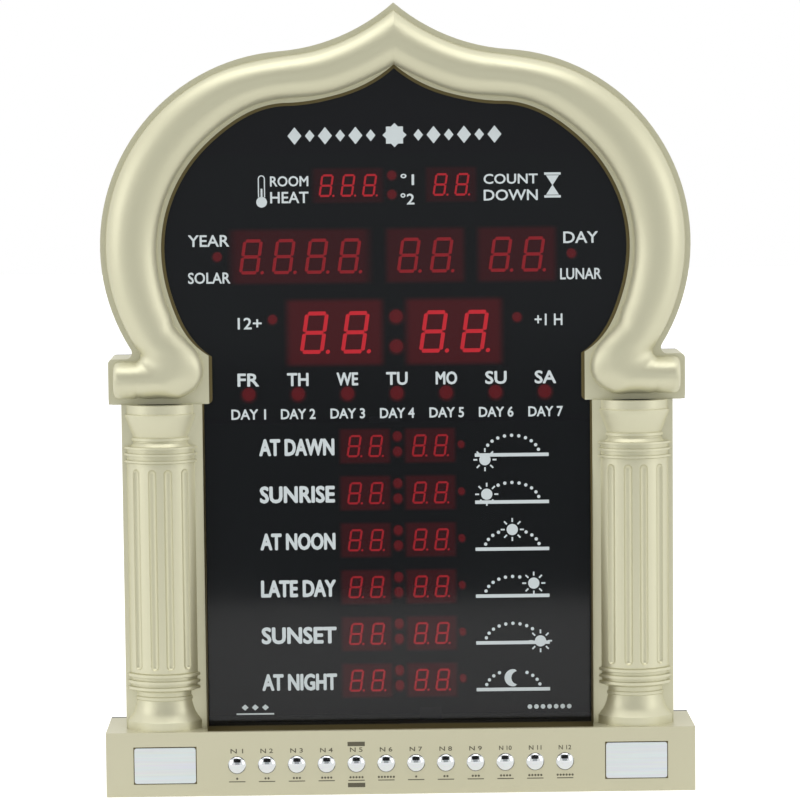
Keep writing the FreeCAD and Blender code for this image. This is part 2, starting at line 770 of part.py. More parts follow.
def build_column(side):
    """One column; side is -1 for the left one and 1 for the right one."""
    half = size("column_half")
    rise = size("column_rise")
    radius = (half ** 2 + rise ** 2) / (2 * rise)
    sunk = radius - rise
    plane = size("strip_depth")
    centre = side * size("column_side")
    low = size("base_height")
    top = size("foot_bottom")
    profile = [point(centre, plane + sunk, low)]
    for width, level in column_profile():
        profile.append(point(centre + math.sqrt(width ** 2 + sunk ** 2), plane + sunk, level))
    profile.append(point(centre, plane + sunk, top))
    profile.append(profile[0])
    turned_part = Part.Face(Part.makePolygon(profile)).revolve(profile[0], FreeCAD.Vector(0, 0, 1), 360)
    reach = half + 10.0
    front_space = box(centre - reach, plane - reach, low, centre + reach, plane, top)
    turned_part = turned_part.common(front_space)
    inner = side * size("strip_inner")
    outer = side * size("strip_outer")
    strip = box(min(inner, outer), plane, low, max(inner, outer), WINDOW_FACE, top)
    wall_inside = outer - side * size("wall")
    wall = box(min(wall_inside, outer), plane, low, max(wall_inside, outer), INSIDE_BACK, top)
    column = strip.fuse([turned_part, wall])
    core = Part.makeCylinder(size("column_core"), top - low, point(centre, plane + sunk, low))
    core = core.common(box(centre - reach, plane - reach, low, centre + reach, WINDOW_FACE + 0.5, top))
    column = column.cut(core)
    # Four flutes with round ends, cut along the shaft.
    cutter = size("flute_width") / 2 + 0.4
    centre_line = radius + cutter - size("flute_sunk")
    flutes = []
    for offset in (-15.4, -5.0, 5.0, 15.4):
        turn = math.asin(offset / radius)
        spot_side = centre + centre_line * math.sin(turn)
        spot_depth = plane + sunk - centre_line * math.cos(turn)
        start = low + size("flute_low")
        end = top - size("flute_high")
        flutes.append(Part.makeCylinder(cutter, end - start, point(spot_side, spot_depth, start)))
        flutes.append(Part.makeSphere(cutter, point(spot_side, spot_depth, start)))
        flutes.append(Part.makeSphere(cutter, point(spot_side, spot_depth, end)))
    column = column.cut(flutes)
    screws = [(across, level) for across, level in LOWER_BOSSES if across * side > 0]
    column = column.fuse([boss(across, level, plane + size("wall"), BOARD_FACE) for across, level in screws])
    rear = [(side * COLUMN_BOSS_SIDE, level) for level in COLUMN_CASE_LEVELS]
    column = column.fuse([boss(across, level, CASE_BOSS_FROM, INSIDE_BACK) for across, level in rear])
    holes = [screw_hole(across, level, BOARD_FACE, BOARD_HOLE) for across, level in screws]
    holes += [screw_hole(across, level, INSIDE_BACK, CASE_HOLE) for across, level in rear]
    return column.cut(holes).removeSplitter()


# Base housing: a box open at the back, with button holes and plate recesses

def button_sides():
    count = int(size("button_count"))
    pitch = size("button_pitch")
    return [(index - (count - 1) / 2) * pitch for index in range(count)]


def build_base_blank():
    """The plain box of the base, open at the back."""
    body = new_body("base_blank")
    outline = new_sketch(body, "base_outline", "XZ_Plane")
    draw_polygon(outline, rectangle("sizes.case_width / 2", "0", "sizes.base_height"))
    set_depth(outline, "0")
    pad(body, outline, "sizes.case_depth - sizes.cover_thick")
    room = new_sketch(body, "base_room", "XZ_Plane")
    high = "sizes.base_height - sizes.wall"
    draw_polygon(room, rectangle("sizes.case_width / 2 - sizes.wall", "sizes.wall", high))
    set_depth(room, "sizes.wall")
    pocket(body, room, "sizes.case_depth - sizes.cover_thick")
    doc.recompute()
    return body.Shape.copy()


# The cable slot in the top of the base ends this far from the columns and the rear cover.
SLOT_END = 12.8
SLOT_BACK = 6.0


def finish_base_housing(shape):
    """Holes, recesses and bosses of the base housing."""
    wall = size("wall")
    cuts = []
    radius = size("button_radius") + size("button_gap")
    for side in button_sides():
        cuts.append(rod(radius, side, -BEYOND, wall + BEYOND, size("button_level")))
    for side in (-size("plate_side"), size("plate_side")):
        half = size("plate_width") / 2 + size("plate_groove")
        high = size("plate_height") / 2 + size("plate_groove")
        level = size("plate_level")
        cuts.append(box(side - half, -BEYOND, level - high, side + half, size("plate_sunk"), level + high))
    # Cables pass up behind the window through a long slot in the top.
    half = size("strip_inner") - SLOT_END
    cuts.append(box(-half, BOARD_BACK, size("base_height") - wall - BEYOND, half, INSIDE_BACK - SLOT_BACK,
                    size("base_height") + BEYOND))
    shape = shape.cut(cuts)
    start = wall - size("boss_sink")
    posts = [boss(side, level, start, size("switch_board_deep")) for side, level in SWITCH_BOSSES]
    rear = [(-BASE_BOSS_SIDE, size("rear_level")), (BASE_BOSS_SIDE, size("rear_level"))]
    posts += [boss(side, level, CASE_BOSS_FROM, INSIDE_BACK) for side, level in rear]
    shape = shape.fuse(posts)
    holes = [screw_hole(side, level, size("switch_board_deep"), BOARD_HOLE) for side, level in SWITCH_BOSSES]
    holes += [screw_hole(side, level, INSIDE_BACK, CASE_HOLE) for side, level in rear]
    return shape.cut(holes).removeSplitter()


def build_window():
    """A flat sheet: the opening and a margin above the columns, a plain rectangle between them."""
    split = size("foot_bottom")
    margin = size("window_margin")
    plate = extruded(opening_wire(split - margin, margin), WINDOW_FACE, WINDOW_BACK)
    above = box(-CASE_HALF, WINDOW_FACE, split, CASE_HALF, WINDOW_BACK, size("apex_height"))
    half = size("strip_inner") + 0.8 * margin
    lower = box(-half, WINDOW_FACE, size("base_height"), half, WINDOW_BACK, split)
    return plate.common(above).fuse(lower).removeSplitter()


def case_bosses():
    spots = list(ARCH_CASE_BOSSES)
    for level in COLUMN_CASE_LEVELS:
        spots += [(-COLUMN_BOSS_SIDE, level), (COLUMN_BOSS_SIDE, level)]
    spots += [(-BASE_BOSS_SIDE, size("rear_level")), (BASE_BOSS_SIDE, size("rear_level"))]
    return spots


def build_rear_cover():
    """The back plate, with keyholes for wall screws, a speaker grille and a socket hole."""
    face = INSIDE_BACK
    back = size("case_depth")
    half = size("strip_outer")
    upper = extruded(arch_wire(0.0, size("foot_bottom")), face, back)
    middle = box(-half, face, size("base_height"), half, back, size("foot_bottom"))
    lower = box(-CASE_HALF, face, 0.0, CASE_HALF, back, size("base_height"))
    cover = upper.fuse([middle, lower]).removeSplitter()
    cuts = []
    for side in (-size("hanger_spacing") / 2, size("hanger_spacing") / 2):
        slot = size("hanger_slot")
        level = size("hanger_level")
        rise = size("hanger_rise")
        cuts.append(rod(size("hanger_entry"), side, face - BEYOND, back + BEYOND, level))
        cuts.append(rod(slot, side, face - BEYOND, back + BEYOND, level + rise))
        cuts.append(box(side - slot, face - BEYOND, level, side + slot, back + BEYOND, level + rise))
    shank = size("screw_radius") + size("screw_play")
    head = size("screw_head") + size("seat_gap")
    for side, level in case_bosses():
        cuts.append(rod(shank, side, face - BEYOND, back + BEYOND, level))
        cuts.append(rod(head, side, back - size("screw_sunk"), back + BEYOND, level))
    level = size("rear_level")
    for ring in range(4):
        radius = size("grille_pitch") * ring
        count = max(1, 6 * ring)
        for index in range(count):
            turn = 2 * math.pi * index / count
            side = size("speaker_side") + radius * math.cos(turn)
            spot = level + radius * math.sin(turn)
            cuts.append(rod(size("grille_hole"), side, face - BEYOND, back + BEYOND, spot))
    nozzle = size("jack_bore") + size("jack_wall")
    cuts.append(rod(nozzle + 2 * size("screw_play"), size("jack_side"), face - BEYOND, back + BEYOND, level))
    cover = cover.cut(cuts)
    posts = [rod(size("boss_radius"), side, CONTROL_BACK, face, spot) for side, spot in CONTROL_BOSSES]
    deep = CONTROL_BACK + size("control_back_gap") - size("cover_thick") / 2
    holes = [rod(shank, side, CONTROL_BACK - BEYOND, deep, spot) for side, spot in CONTROL_BOSSES]
    cover = cover.fuse(posts).cut(holes)
    return cover.removeSplitter()


# Buttons: a domed cap, a collar behind the panel and a stem towards its switch

def build_button(number):
    body = new_body("button_%d" % number)
    sketch = new_sketch(body, "button_%d_profile" % number, "YZ_Plane")
    stem_end = "(sizes.switch_board_deep - sizes.switch_deep - sizes.switch_tip_long"
    stem_end += " - sizes.button_travel - sizes.seat_gap)"
    collar = "(sizes.wall + sizes.seat_gap)"
    corners = [
        ("-sizes.dome_shoulder", "0"),
        ("-sizes.dome_shoulder", "sizes.button_radius"),
        (collar, "sizes.button_radius"),
        (collar, "sizes.button_flange"),
        (collar + " + sizes.button_collar", "sizes.button_flange"),
        (collar + " + sizes.button_collar", "sizes.button_stem"),
        (stem_end, "sizes.button_stem"),
        (stem_end, "0"),
    ]
    draw_polygon(sketch, corners)
    turned_part = body.newObject("PartDesign::Revolution", "button_%d_turned" % number)
    turned_part.Profile = sketch
    turned_part.ReferenceAxis = (sketch, ["H_Axis"])
    turned_part.Angle = 360.0
    doc.recompute()
    # The dome is the part of a ball that stands in front of the shoulder.
    rise = size("dome_proud") - size("dome_shoulder")
    radius = (size("button_radius") ** 2 + rise ** 2) / (2 * rise)
    ball = body.newObject("PartDesign::AdditiveSphere", "button_%d_dome" % number)
    ball.Radius = radius
    cap_angle = math.degrees(math.acos((radius - rise) / radius))
    ball.Angle1 = 90.0 - cap_angle
    ball.Angle2 = 90.0
    ball.AttachmentOffset = FreeCAD.Placement()
    ball.Placement = FreeCAD.Placement(
        FreeCAD.Vector(0, radius - size("dome_proud"), 0),
        FreeCAD.Rotation(FreeCAD.Vector(1, 0, 0), 90.0))
    place = "(%d - (sizes.button_count + 1) / 2) * sizes.button_pitch" % number
    body.setExpression("Placement.Base.x", place)
    body.setExpression("Placement.Base.y", FRONT)
    body.setExpression("Placement.Base.z", "sizes.button_level")
    return keep(body, "button_%d" % number)


# Silver end plates of the base, each seated in a shallow recess

def build_plate(label, side):
    body = new_body(label)
    sketch = new_sketch(body, label + "_outline", "XZ_Plane")
    high = "sizes.plate_height / 2"
    draw_polygon(sketch, rectangle("sizes.plate_width / 2", "-(%s)" % high, high))
    pad(body, sketch, "sizes.plate_thick")
    doc.recompute()
    tip = body.Tip
    corners = body.newObject("PartDesign::Fillet", label + "_corners")
    names = []
    for index, edge in enumerate(tip.Shape.Edges, start=1):
        direction = edge.tangentAt(edge.FirstParameter)
        if abs(direction.y) > 0.99:
            names.append("Edge%d" % index)
    corners.Base = (tip, names)
    corners.setExpression("Radius", "sizes.plate_corner")
    body.setExpression("Placement.Base.x", "%d * sizes.plate_side" % side)
    body.setExpression("Placement.Base.y", FRONT + " + sizes.plate_sunk - sizes.plate_thick")
    body.setExpression("Placement.Base.z", "sizes.plate_level")
    return keep(body, label)


# Circuit boards: flat plates with screw holes

def build_board(label, half, low, high, depth, spots):
    body = new_body(label)
    sketch = new_sketch(body, label + "_outline", "XZ_Plane")
    draw_polygon(sketch, rectangle(half, low, high))
    for side, level in spots:
        draw_circle(sketch, str(side), str(level), "sizes.screw_radius + sizes.screw_play")
    pad(body, sketch, "sizes.board_thick")
    body.setExpression("Placement.Base.y", "%s + %s" % (FRONT, depth))
    return keep(body, label)


WINDOW_BACK_RULE = "sizes.flange_depth + sizes.flange_thick + sizes.window_thick"
MODULE_FACE_RULE = WINDOW_BACK_RULE + " + sizes.module_gap"
BOARD_FACE_RULE = MODULE_FACE_RULE + " + sizes.module_deep"

# Display modules: a digit's module is wider and taller than the digit by these shares.
MODULE_WIDTH_SHARE = 0.88
MODULE_HEIGHT_SHARE = 1.3
ROW_COUNT = 6

# Name, digit height, level, gap between modules, and the middle and number of digits in each run
DIGIT_GROUPS = [
    ("temperature_digits", "small_digit", size("room_level"), "digit_gap", [(-29.7, 3)]),
    ("countdown_digits", "small_digit", size("room_level"), "digit_gap", [(35.5, 2)]),
    ("year_digits", "date_digit", size("date_level"), "digit_gap", [(-60.4, 4)]),
    ("month_digits", "date_digit", size("date_level"), "digit_gap", [(18.75, 2)]),
    ("day_digits", "date_digit", size("date_level"), "digit_gap", [(76.75, 2)]),
    ("hour_digits", "time_digit", size("time_level"), "time_digit_gap", [(-39.0, 2)]),
    ("minute_digits", "time_digit", size("time_level"), "time_digit_gap", [(36.55, 2)]),
]


def row_level(index):
    """The level of a row: the rows share the height of the lower board evenly."""
    top = size("lower_board_high") - size("row_margin")
    bottom = size("lower_board_low") + size("last_row_margin")
    return top - index * (top - bottom) / (ROW_COUNT - 1)


for row_index in range(ROW_COUNT):
    pairs = [(-size("row_pair_side"), 2), (size("row_pair_side"), 2)]
    name = "row_%d_digits" % (row_index + 1)
    DIGIT_GROUPS.append((name, "small_digit", row_level(row_index), "digit_gap", pairs))


def build_digit_group(label, digit, level, gap, runs):
    height = size(digit)
    width = height * MODULE_WIDTH_SHARE
    tall = height * MODULE_HEIGHT_SHARE
    pitch = width + size(gap)
    sides = [middle + (index - (count - 1) / 2) * pitch for middle, count in runs for index in range(count)]
    members = []
    for index, side in enumerate(sides, start=1):
        module = doc.addObject("Part::Box", "%s_%d" % (label, index))
        module.setExpression("Length", "sizes.%s * %s" % (digit, MODULE_WIDTH_SHARE))
        module.setExpression("Height", "sizes.%s * %s" % (digit, MODULE_HEIGHT_SHARE))
        module.setExpression("Width", "sizes.module_deep")
        module.Placement.Base = FreeCAD.Vector(side - width / 2, 0, level - tall / 2)
        module.setExpression("Placement.Base.y", "%s + %s" % (FRONT, MODULE_FACE_RULE))
        members.append(module)
    return grouped(label, members)


# Round lamps, each a cylinder with a ball nose on a thin collar

def lamp(side, level, radius):
    start = MODULE_FACE + size("lamp_gap") + radius
    barrel = rod(radius, side, start, BOARD_FACE, level)
    collar = rod(radius + size("lamp_collar"), side, BOARD_FACE - 1.0, BOARD_FACE, level)
    return barrel.fuse([Part.makeSphere(radius, point(side, start, level)), collar]).removeSplitter()


# Side and rise over their row's level of the lamps that show a unit or a mode
MODE_LAMPS = [("time_level", -78.5, 8.3), ("time_level", 76.8, 8.3), ("date_level", -113.0, 0.0),
              ("date_level", 111.6, 0.0), ("room_level", -1.9, 6.0), ("room_level", -1.9, -6.1)]
# Rise of the two dots between hours and minutes, in the time and in a row
TIME_DOTS = (9.5, -9.5)
ROW_DOTS = (5.6, -4.2)


def build_lamps():
    big, middle, small = size("big_lamp"), size("middle_lamp"), size("small_lamp")
    colons = [lamp(0.0, size("time_level") + rise, big) for rise in TIME_DOTS]
    ends = [lamp(side, size(level) + rise, middle) for level, side, rise in MODE_LAMPS]
    rows = []
    for index in range(ROW_COUNT):
        level = row_level(index)
        colons += [lamp(0.0, level + rise, middle) for rise in ROW_DOTS]
        rows.append(lamp(size("row_lamp_side"), level, small))
    week = [lamp(size("weekday_pitch") * index, size("weekday_level"), big) for index in range(-3, 4)]
    feature("colon_lamps", Part.makeCompound(colons))
    feature("row_lamps", Part.makeCompound(rows))
    feature("weekday_lamps", Part.makeCompound(week))
    feature("mode_lamps", Part.makeCompound(ends))


def build_switches():
    face = size("switch_board_deep")
    half = size("switch_size") / 2
    level = size("button_level")
    switches = []
    for side in button_sides():
        low = face - size("switch_deep")
        case = box(side - half, low, level - half, side + half, face, level + half)
        tip = rod(size("switch_tip"), side, low - size("switch_tip_long"), low, level)
        switches.append(case.fuse(tip).removeSplitter())
    feature("tact_switches", Part.makeCompound(switches))


def build_screws():
    seat = size("case_depth") - size("screw_sunk")
    feature("case_screws", Part.makeCompound([screw(*spot, seat, CASE_SCREW) for spot in case_bosses()]))
    boards = [screw(*spot, BOARD_BACK, BOARD_SCREW) for spot in UPPER_BOSSES + LOWER_BOSSES]
    feature("display_board_screws", Part.makeCompound(boards))
    switch_back = size("switch_board_deep") + size("board_thick")
    small = [screw(*spot, switch_back, SWITCH_SCREW) for spot in SWITCH_BOSSES]
    feature("switch_board_screws", Part.makeCompound(small))
    # The controller's screws point the other way, into the posts of the rear cover.
    control = []
    for side, level in CONTROL_BOSSES:
        item = screw(side, level, 0.0, CONTROL_SCREW)
        item.rotate(point(side, 0.0, level), FreeCAD.Vector(1, 0, 0), 180)
        item.translate(FreeCAD.Vector(0, CONTROL_FRONT, 0))
        control.append(item)
    feature("controller_screws", Part.makeCompound(control))


def frustum_shell(side, level, start, end, wide_start, wide_end, wall):
    """A cone-shaped wall along the depth, open at both ends."""
    axis = FreeCAD.Vector(0, 1, 0)
    spot = point(side, start, level)
    outer = Part.makeCone(wide_start, wide_end, end - start, spot, axis)
    inner = Part.makeCone(wide_start - wall, wide_end - wall, end - start, spot, axis)
    return outer.cut(inner)


def build_speaker():
    """A small round speaker: a ring against the grille, a cone-shaped basket and a magnet."""
    side = size("speaker_side")
    level = size("rear_level")
    radius = size("speaker_radius")
    rim = INSIDE_BACK - 1.5
    neck = 0.6 * radius
    basket_deep, magnet_deep, sheet_metal = 9.0, 6.0, 1.2
    floor_front = rim - basket_deep - 1.0
    cone_front = rim - 6.0
    voice_coil, paper = 5.0, 0.6
    ring = rod(radius, side, rim, INSIDE_BACK, level)
    ring = ring.cut(rod(radius - 2 * sheet_metal, side, rim - BEYOND, INSIDE_BACK + BEYOND, level))
    shell = frustum_shell(side, level, rim - basket_deep, rim, neck, radius, sheet_metal)
    floor = rod(neck, side, floor_front, rim - basket_deep, level)
    feature("speaker_basket", ring.fuse([shell, floor]).removeSplitter())
    cone = frustum_shell(side, level, cone_front, rim + 0.9, voice_coil, radius - 2.8, paper)
    coil = rod(voice_coil, side, rim - basket_deep, cone_front, level)
    feature("speaker_cone", cone.fuse(coil).removeSplitter())
    feature("speaker_magnet", rod(0.55 * radius, side, floor_front - magnet_deep, floor_front, level))


def build_power_jack():
    side = size("jack_side")
    level = size("rear_level")
    half = size("jack_width") / 2
    high = size("jack_height") / 2
    start = INSIDE_BACK - size("jack_deep")
    floor = start + 3.0
    case = box(side - half, start, level - high, side + half, INSIDE_BACK, level + high)
    nozzle = rod(size("jack_bore") + size("jack_wall"), side, INSIDE_BACK, size("case_depth") - 0.5, level)
    bore = rod(size("jack_bore"), side, floor, size("case_depth") + BEYOND, level)
    pin = rod(size("jack_pin"), side, floor, INSIDE_BACK, level)
    feature("power_jack", case.fuse(nozzle).cut(bore).fuse(pin).removeSplitter())


def on_board(side, level, width, height, thick, seat):
    """A flat block on a board: its middle, its sizes and the board's face, thick towards the front
    when it is negative."""
    ends = sorted((seat, seat + thick))
    return box(side - width / 2, ends[0], level - height / 2, side + width / 2, ends[1], level + height / 2)


def build_controller():
    """The chips, the coin cell in its holder, the display drivers and the temperature sensor."""
    front = CONTROL_FRONT
    low = size("control_low")
    chips = [
        on_board(-27.0, low + 47.0, 14.0, 14.0, -2.2, front),
        on_board(-1.0, low + 17.0, 10.0, 6.0, -1.8, front),
        on_board(-35.0, low + 21.0, 10.0, 10.0, -9.0, front),
    ]
    feature("controller_chips", Part.makeCompound(chips))
    side = 30.0
    level = low + 36.0
    cell_radius, cell_thick, holder_floor, holder_deep = 10.0, 3.2, 1.4, 5.0
    pocket_radius = cell_radius + size("screw_play") * 2
    holder = on_board(side, level, 2 * pocket_radius + 4.6, 2 * pocket_radius + 4.6, -holder_deep, front)
    holder = holder.cut(rod(pocket_radius, side, front - holder_deep - BEYOND, front - holder_floor, level))
    feature("cell_holder", holder)
    seat = front - holder_floor
    cell = rod(cell_radius, side, seat - cell_thick, seat, level)
    feature("coin_cell", cell.makeFillet(0.4, [edge for edge in cell.Edges if len(edge.Vertexes) == 1]))
    upper = (size("date_level") + size("time_level")) / 2
    lower = row_level(1) + 10.0
    spots = [(-90.0, upper), (0.0, upper), (90.0, upper), (-60.0, lower), (60.0, lower)]
    drivers = [on_board(*spot, 10.0, 16.0, 2.2, BOARD_BACK) for spot in spots]
    feature("display_drivers", Part.makeCompound(drivers))
    feature("temperature_sensor", rod(2.3, -120.0, BOARD_FACE - 4.5, BOARD_FACE, size("room_level") - 13.5))


def flat_cable(side, width, path, thick):
    """A flat cable across the side direction that follows a path of depth and height."""
    solids = []
    for (depth_a, level_a), (depth_b, level_b) in zip(path, path[1:]):
        run = FreeCAD.Vector(0, depth_b - depth_a, level_b - level_a)
        normal = FreeCAD.Vector(0, -run.z, run.y).normalize() * (thick / 2)
        low = point(side - width / 2, depth_a, level_a)
        high = point(side - width / 2, depth_b, level_b)
        corners = [low - normal, high - normal, high + normal, low + normal, low - normal]
        solids.append(Part.Face(Part.makePolygon(corners)).extrude(FreeCAD.Vector(width, 0, 0)))
    for depth, level in path[1:-1]:
        spot = point(side - width / 2, depth, level)
        solids.append(Part.makeCylinder(thick / 2, width, spot, FreeCAD.Vector(1, 0, 0)))
    return solids[0].fuse(solids[1:]).removeSplitter()


def build_cables():
    """Two flat cables: from the upper display board and from the button board to the controller."""
    thick = 0.9
    turn = 8.0
    start = size("upper_board_low") + 24.0
    end = size("control_high") - 10.0
    behind = CONTROL_BACK - turn
    path = [(BOARD_BACK, start), (behind, start), (behind, end), (CONTROL_FRONT, end)]
    feature("display_cable", flat_cable(-8.0, 20.0, path, thick))
    start = size("button_board_high") - turn
    end = size("control_low") + 10.0
    behind += 1.0
    path = [(size("switch_board_deep") + size("board_thick"), start), (behind, start), (behind, end),
            (CONTROL_FRONT, end)]
    feature("button_cable", flat_cable(20.0, 14.0, path, thick))


def build_all():
    feature("arch_frame", build_arch_frame())
    feature("left_column", build_column(-1))
    feature("right_column", build_column(1))
    feature("base_housing", finish_base_housing(build_base_blank()))
    feature("display_window", build_window())
    feature("rear_cover", build_rear_cover())
    for number in range(1, int(size("button_count")) + 1):
        build_button(number)
    build_plate("left_plate", -1)
    build_plate("right_plate", 1)
    build_board("upper_display_board", "sizes.upper_board_half", "sizes.upper_board_low",
                "sizes.upper_board_high", BOARD_FACE_RULE, UPPER_BOSSES)
    build_board("lower_display_board", "sizes.lower_board_half", "sizes.lower_board_low",
                "sizes.lower_board_high", BOARD_FACE_RULE, LOWER_BOSSES)
    build_board("button_board", "sizes.button_board_half", "sizes.button_board_low",
                "sizes.button_board_high", "sizes.switch_board_deep", SWITCH_BOSSES)
    build_board("controller_board", "sizes.control_half", "sizes.control_low", "sizes.control_high",
                "sizes.control_depth - sizes.board_thick", CONTROL_BOSSES)
    for group in DIGIT_GROUPS:
        build_digit_group(*group)
    build_lamps()
    build_switches()
    build_screws()
    build_speaker()
    build_power_jack()
    build_controller()
    build_cables()
    doc.recompute()


build_all()

for item in doc.Objects:
    if "Invalid" in item.State or "Error" in item.State:
        raise RuntimeError("%s did not build: %s" % (item.Label, item.State))

os.makedirs("parts", exist_ok=True)
for node in nodes:
    if node.Shape.isNull() or not node.Shape.isValid():
        raise RuntimeError("%s has no valid shape" % node.Label)
    bounds = node.Shape.BoundBox
    print("%-22s solids %2d volume %10.1f  x %7.1f %7.1f  y %6.1f %6.1f  z %6.1f %6.1f" % (
        node.Label, len(node.Shape.Solids), node.Shape.Volume, bounds.XMin, bounds.XMax,
        bounds.YMin, bounds.YMax, bounds.ZMin, bounds.ZMax))
    node.Shape.exportStep("parts/%s.step" % node.Label)
print(len(nodes), "nodes")
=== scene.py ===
import json
import math

import bmesh
import bpy
from bpy.props import FloatProperty, FloatVectorProperty, PointerProperty
from bpy.types import Operator, Panel, PropertyGroup
from mathutils import Matrix, Vector


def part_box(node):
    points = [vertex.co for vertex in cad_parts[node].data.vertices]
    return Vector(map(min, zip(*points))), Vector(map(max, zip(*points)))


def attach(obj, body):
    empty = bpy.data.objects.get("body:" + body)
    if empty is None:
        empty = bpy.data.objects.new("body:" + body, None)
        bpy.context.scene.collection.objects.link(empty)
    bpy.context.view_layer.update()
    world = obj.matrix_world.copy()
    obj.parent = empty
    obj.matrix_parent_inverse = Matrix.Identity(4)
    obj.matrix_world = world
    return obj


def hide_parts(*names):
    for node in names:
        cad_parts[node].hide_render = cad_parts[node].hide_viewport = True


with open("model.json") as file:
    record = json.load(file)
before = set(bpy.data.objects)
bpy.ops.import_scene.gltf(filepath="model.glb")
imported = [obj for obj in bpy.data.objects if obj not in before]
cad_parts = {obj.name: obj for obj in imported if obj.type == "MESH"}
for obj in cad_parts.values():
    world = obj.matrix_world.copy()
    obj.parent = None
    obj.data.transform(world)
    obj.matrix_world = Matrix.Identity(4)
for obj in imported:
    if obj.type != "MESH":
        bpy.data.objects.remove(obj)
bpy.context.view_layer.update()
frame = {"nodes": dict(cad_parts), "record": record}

bl_info = {
    "name": "Arched Prayer Clock",
    "version": (1, 0, 0),
    "blender": (4, 5, 0),
    "location": "View3D > Sidebar > Clock",
    "description": "Dresses the packed clock: pearl frame, smoked window, red displays and chrome buttons",
    "category": "Object",
}

CASE = "case"
MM = 0.001

# A module is taller than the digit it shows by this share, and a lamp's collar wider than its lamp.
MODULE_SHARE = 1.3
COLLAR = 0.4
DIGIT_GROUPS = ("temperature", "countdown", "year", "month", "day", "hour", "minute",
                "row_1", "row_2", "row_3", "row_4", "row_5", "row_6")
LAMP_GROUPS = ("colon_lamps", "row_lamps", "weekday_lamps", "mode_lamps")
WEEKDAYS = ("FR", "TH", "WE", "TU", "MO", "SU", "SA")
ROW_NAMES = ("AT DAWN", "SUNRISE", "AT NOON", "LATE DAY", "SUNSET", "AT NIGHT")
BUTTON_COUNT = 12

# Edges that turn by more than this, in degrees, stay sharp.
SHARP_MOULDED = 28.0
SHARP_METAL = 40.0

# Depths in millimetres behind the front of the base: the lip round the window's opening, painted dark
# as shade, and the back of the dark strips.
SHADED_LIP_DEPTHS = (18.05, 19.9)
EDGING_DEPTH = 19.95
EDGING_THICK = 0.9
LEDGE_THICK = 0.2


def srgb(red, green, blue):
    """A screen colour, 0 to 255, in the linear numbers that shaders use."""
    def linear(value):
        share = value / 255
        return share / 12.92 if share <= 0.04045 else ((share + 0.055) / 1.055) ** 2.4
    return (linear(red), linear(green), linear(blue), 1.0)


def toned(tone, red, green, blue):
    """A colour with each of its three parts times a share."""
    return (tone[0] * red, tone[1] * green, tone[2] * blue, 1.0)


def colour(label, text, value):
    """A colour property with its name, its description and its default."""
    return FloatVectorProperty(name=label, description=text, default=value, size=4,
                               min=0.0, max=1.0, subtype="COLOR")


def length(label, text, value):
    """A length property in metres, from millimetres."""
    return FloatProperty(name=label, description=text, default=value * MM, min=0.0,
                         unit="LENGTH", precision=5)


class ClockColours(PropertyGroup):
    pearl: colour("Pearl", "Paint of the arch and the columns", srgb(216, 213, 185))
    base: colour("Base", "Paint of the base", srgb(209, 205, 178))
    # The same dark colour is painted shade on the lip round the window, in the button holes and in the
    # plates' recesses.
    edging_and_shade: colour("Edging", "Dark bronze edging round the window", srgb(112, 100, 62))
    ink: colour("Window ink", "Print on the window", srgb(205, 214, 216))
    mark: colour("Button print", "Print beside the buttons", srgb(92, 88, 70))
    window: colour("Window", "Smoked acrylic", srgb(13, 14, 18))
    silver: colour("Silver", "Plates at the ends of the base", srgb(226, 232, 234))
    chrome: colour("Chrome", "Button caps", srgb(225, 228, 230))
    red: colour("Red", "Light of the displays", (1.0, 0.03, 0.05, 1.0))
    back: colour("Back", "Moulded plastic of the rear cover", srgb(38, 38, 40))
    board: colour("Circuit board", "Lacquer of the circuit boards", srgb(18, 58, 34))


class ClockSizes(PropertyGroup):
    ink_thick: length("Ink thickness", "How far print stands off its surface", 0.06)
    ledge_depth: length("Ledge depth", "How far the dark strip on the base reaches forward", 16.0)
    edging_width: length("Edging width", "Width of the dark strip along each column", 1.1)
    segment_thick: length("Segment thickness", "How far a segment stands off its module", 0.08)
    digit_slant: FloatProperty(name="Digit slant", description="Lean of the red digits",
                               default=math.radians(8.5), subtype="ANGLE")
    digit_width: FloatProperty(name="Digit width", description="Width of a digit per height",
                               default=0.56, min=0.2, max=1.0, subtype="FACTOR")
    segment_width: FloatProperty(name="Segment width", description="Stroke of a digit per height",
                                 default=0.092, min=0.02, max=0.3, subtype="FACTOR")
    lens: FloatProperty(name="Lens", description="Focal length of the camera in millimetres",
                        default=157.5, min=20.0)


def colours():
    return bpy.context.scene.clock_colours


def sizes():
    return bpy.context.scene.clock_sizes


# Materials

def node_group(name, inputs, outputs):
    """An empty shader group with its sockets, and its input and output nodes."""
    group = bpy.data.node_groups.new(name, "ShaderNodeTree")
    for label, kind, default in inputs:
        socket = group.interface.new_socket(label, in_out="INPUT", socket_type=kind)
        socket.default_value = default
    for label, kind in outputs:
        group.interface.new_socket(label, in_out="OUTPUT", socket_type=kind)
    return group, group.nodes.new("NodeGroupInput"), group.nodes.new("NodeGroupOutput")


def worked_out(tree, operation, *values, clamp=False):
    """The output of a math node on numbers and on other nodes' outputs."""
    node = tree.nodes.new("ShaderNodeMath")
    node.operation = operation
    node.use_clamp = clamp
    for socket, value in zip(node.inputs, values):
        if isinstance(value, bpy.types.NodeSocket):
            tree.links.new(value, socket)
        else:
            socket.default_value = value
    return node.outputs[0]


FINISH_OUTPUTS = [("Color", "NodeSocketColor"), ("Roughness", "NodeSocketFloat"),
                  ("Height", "NodeSocketFloat")]


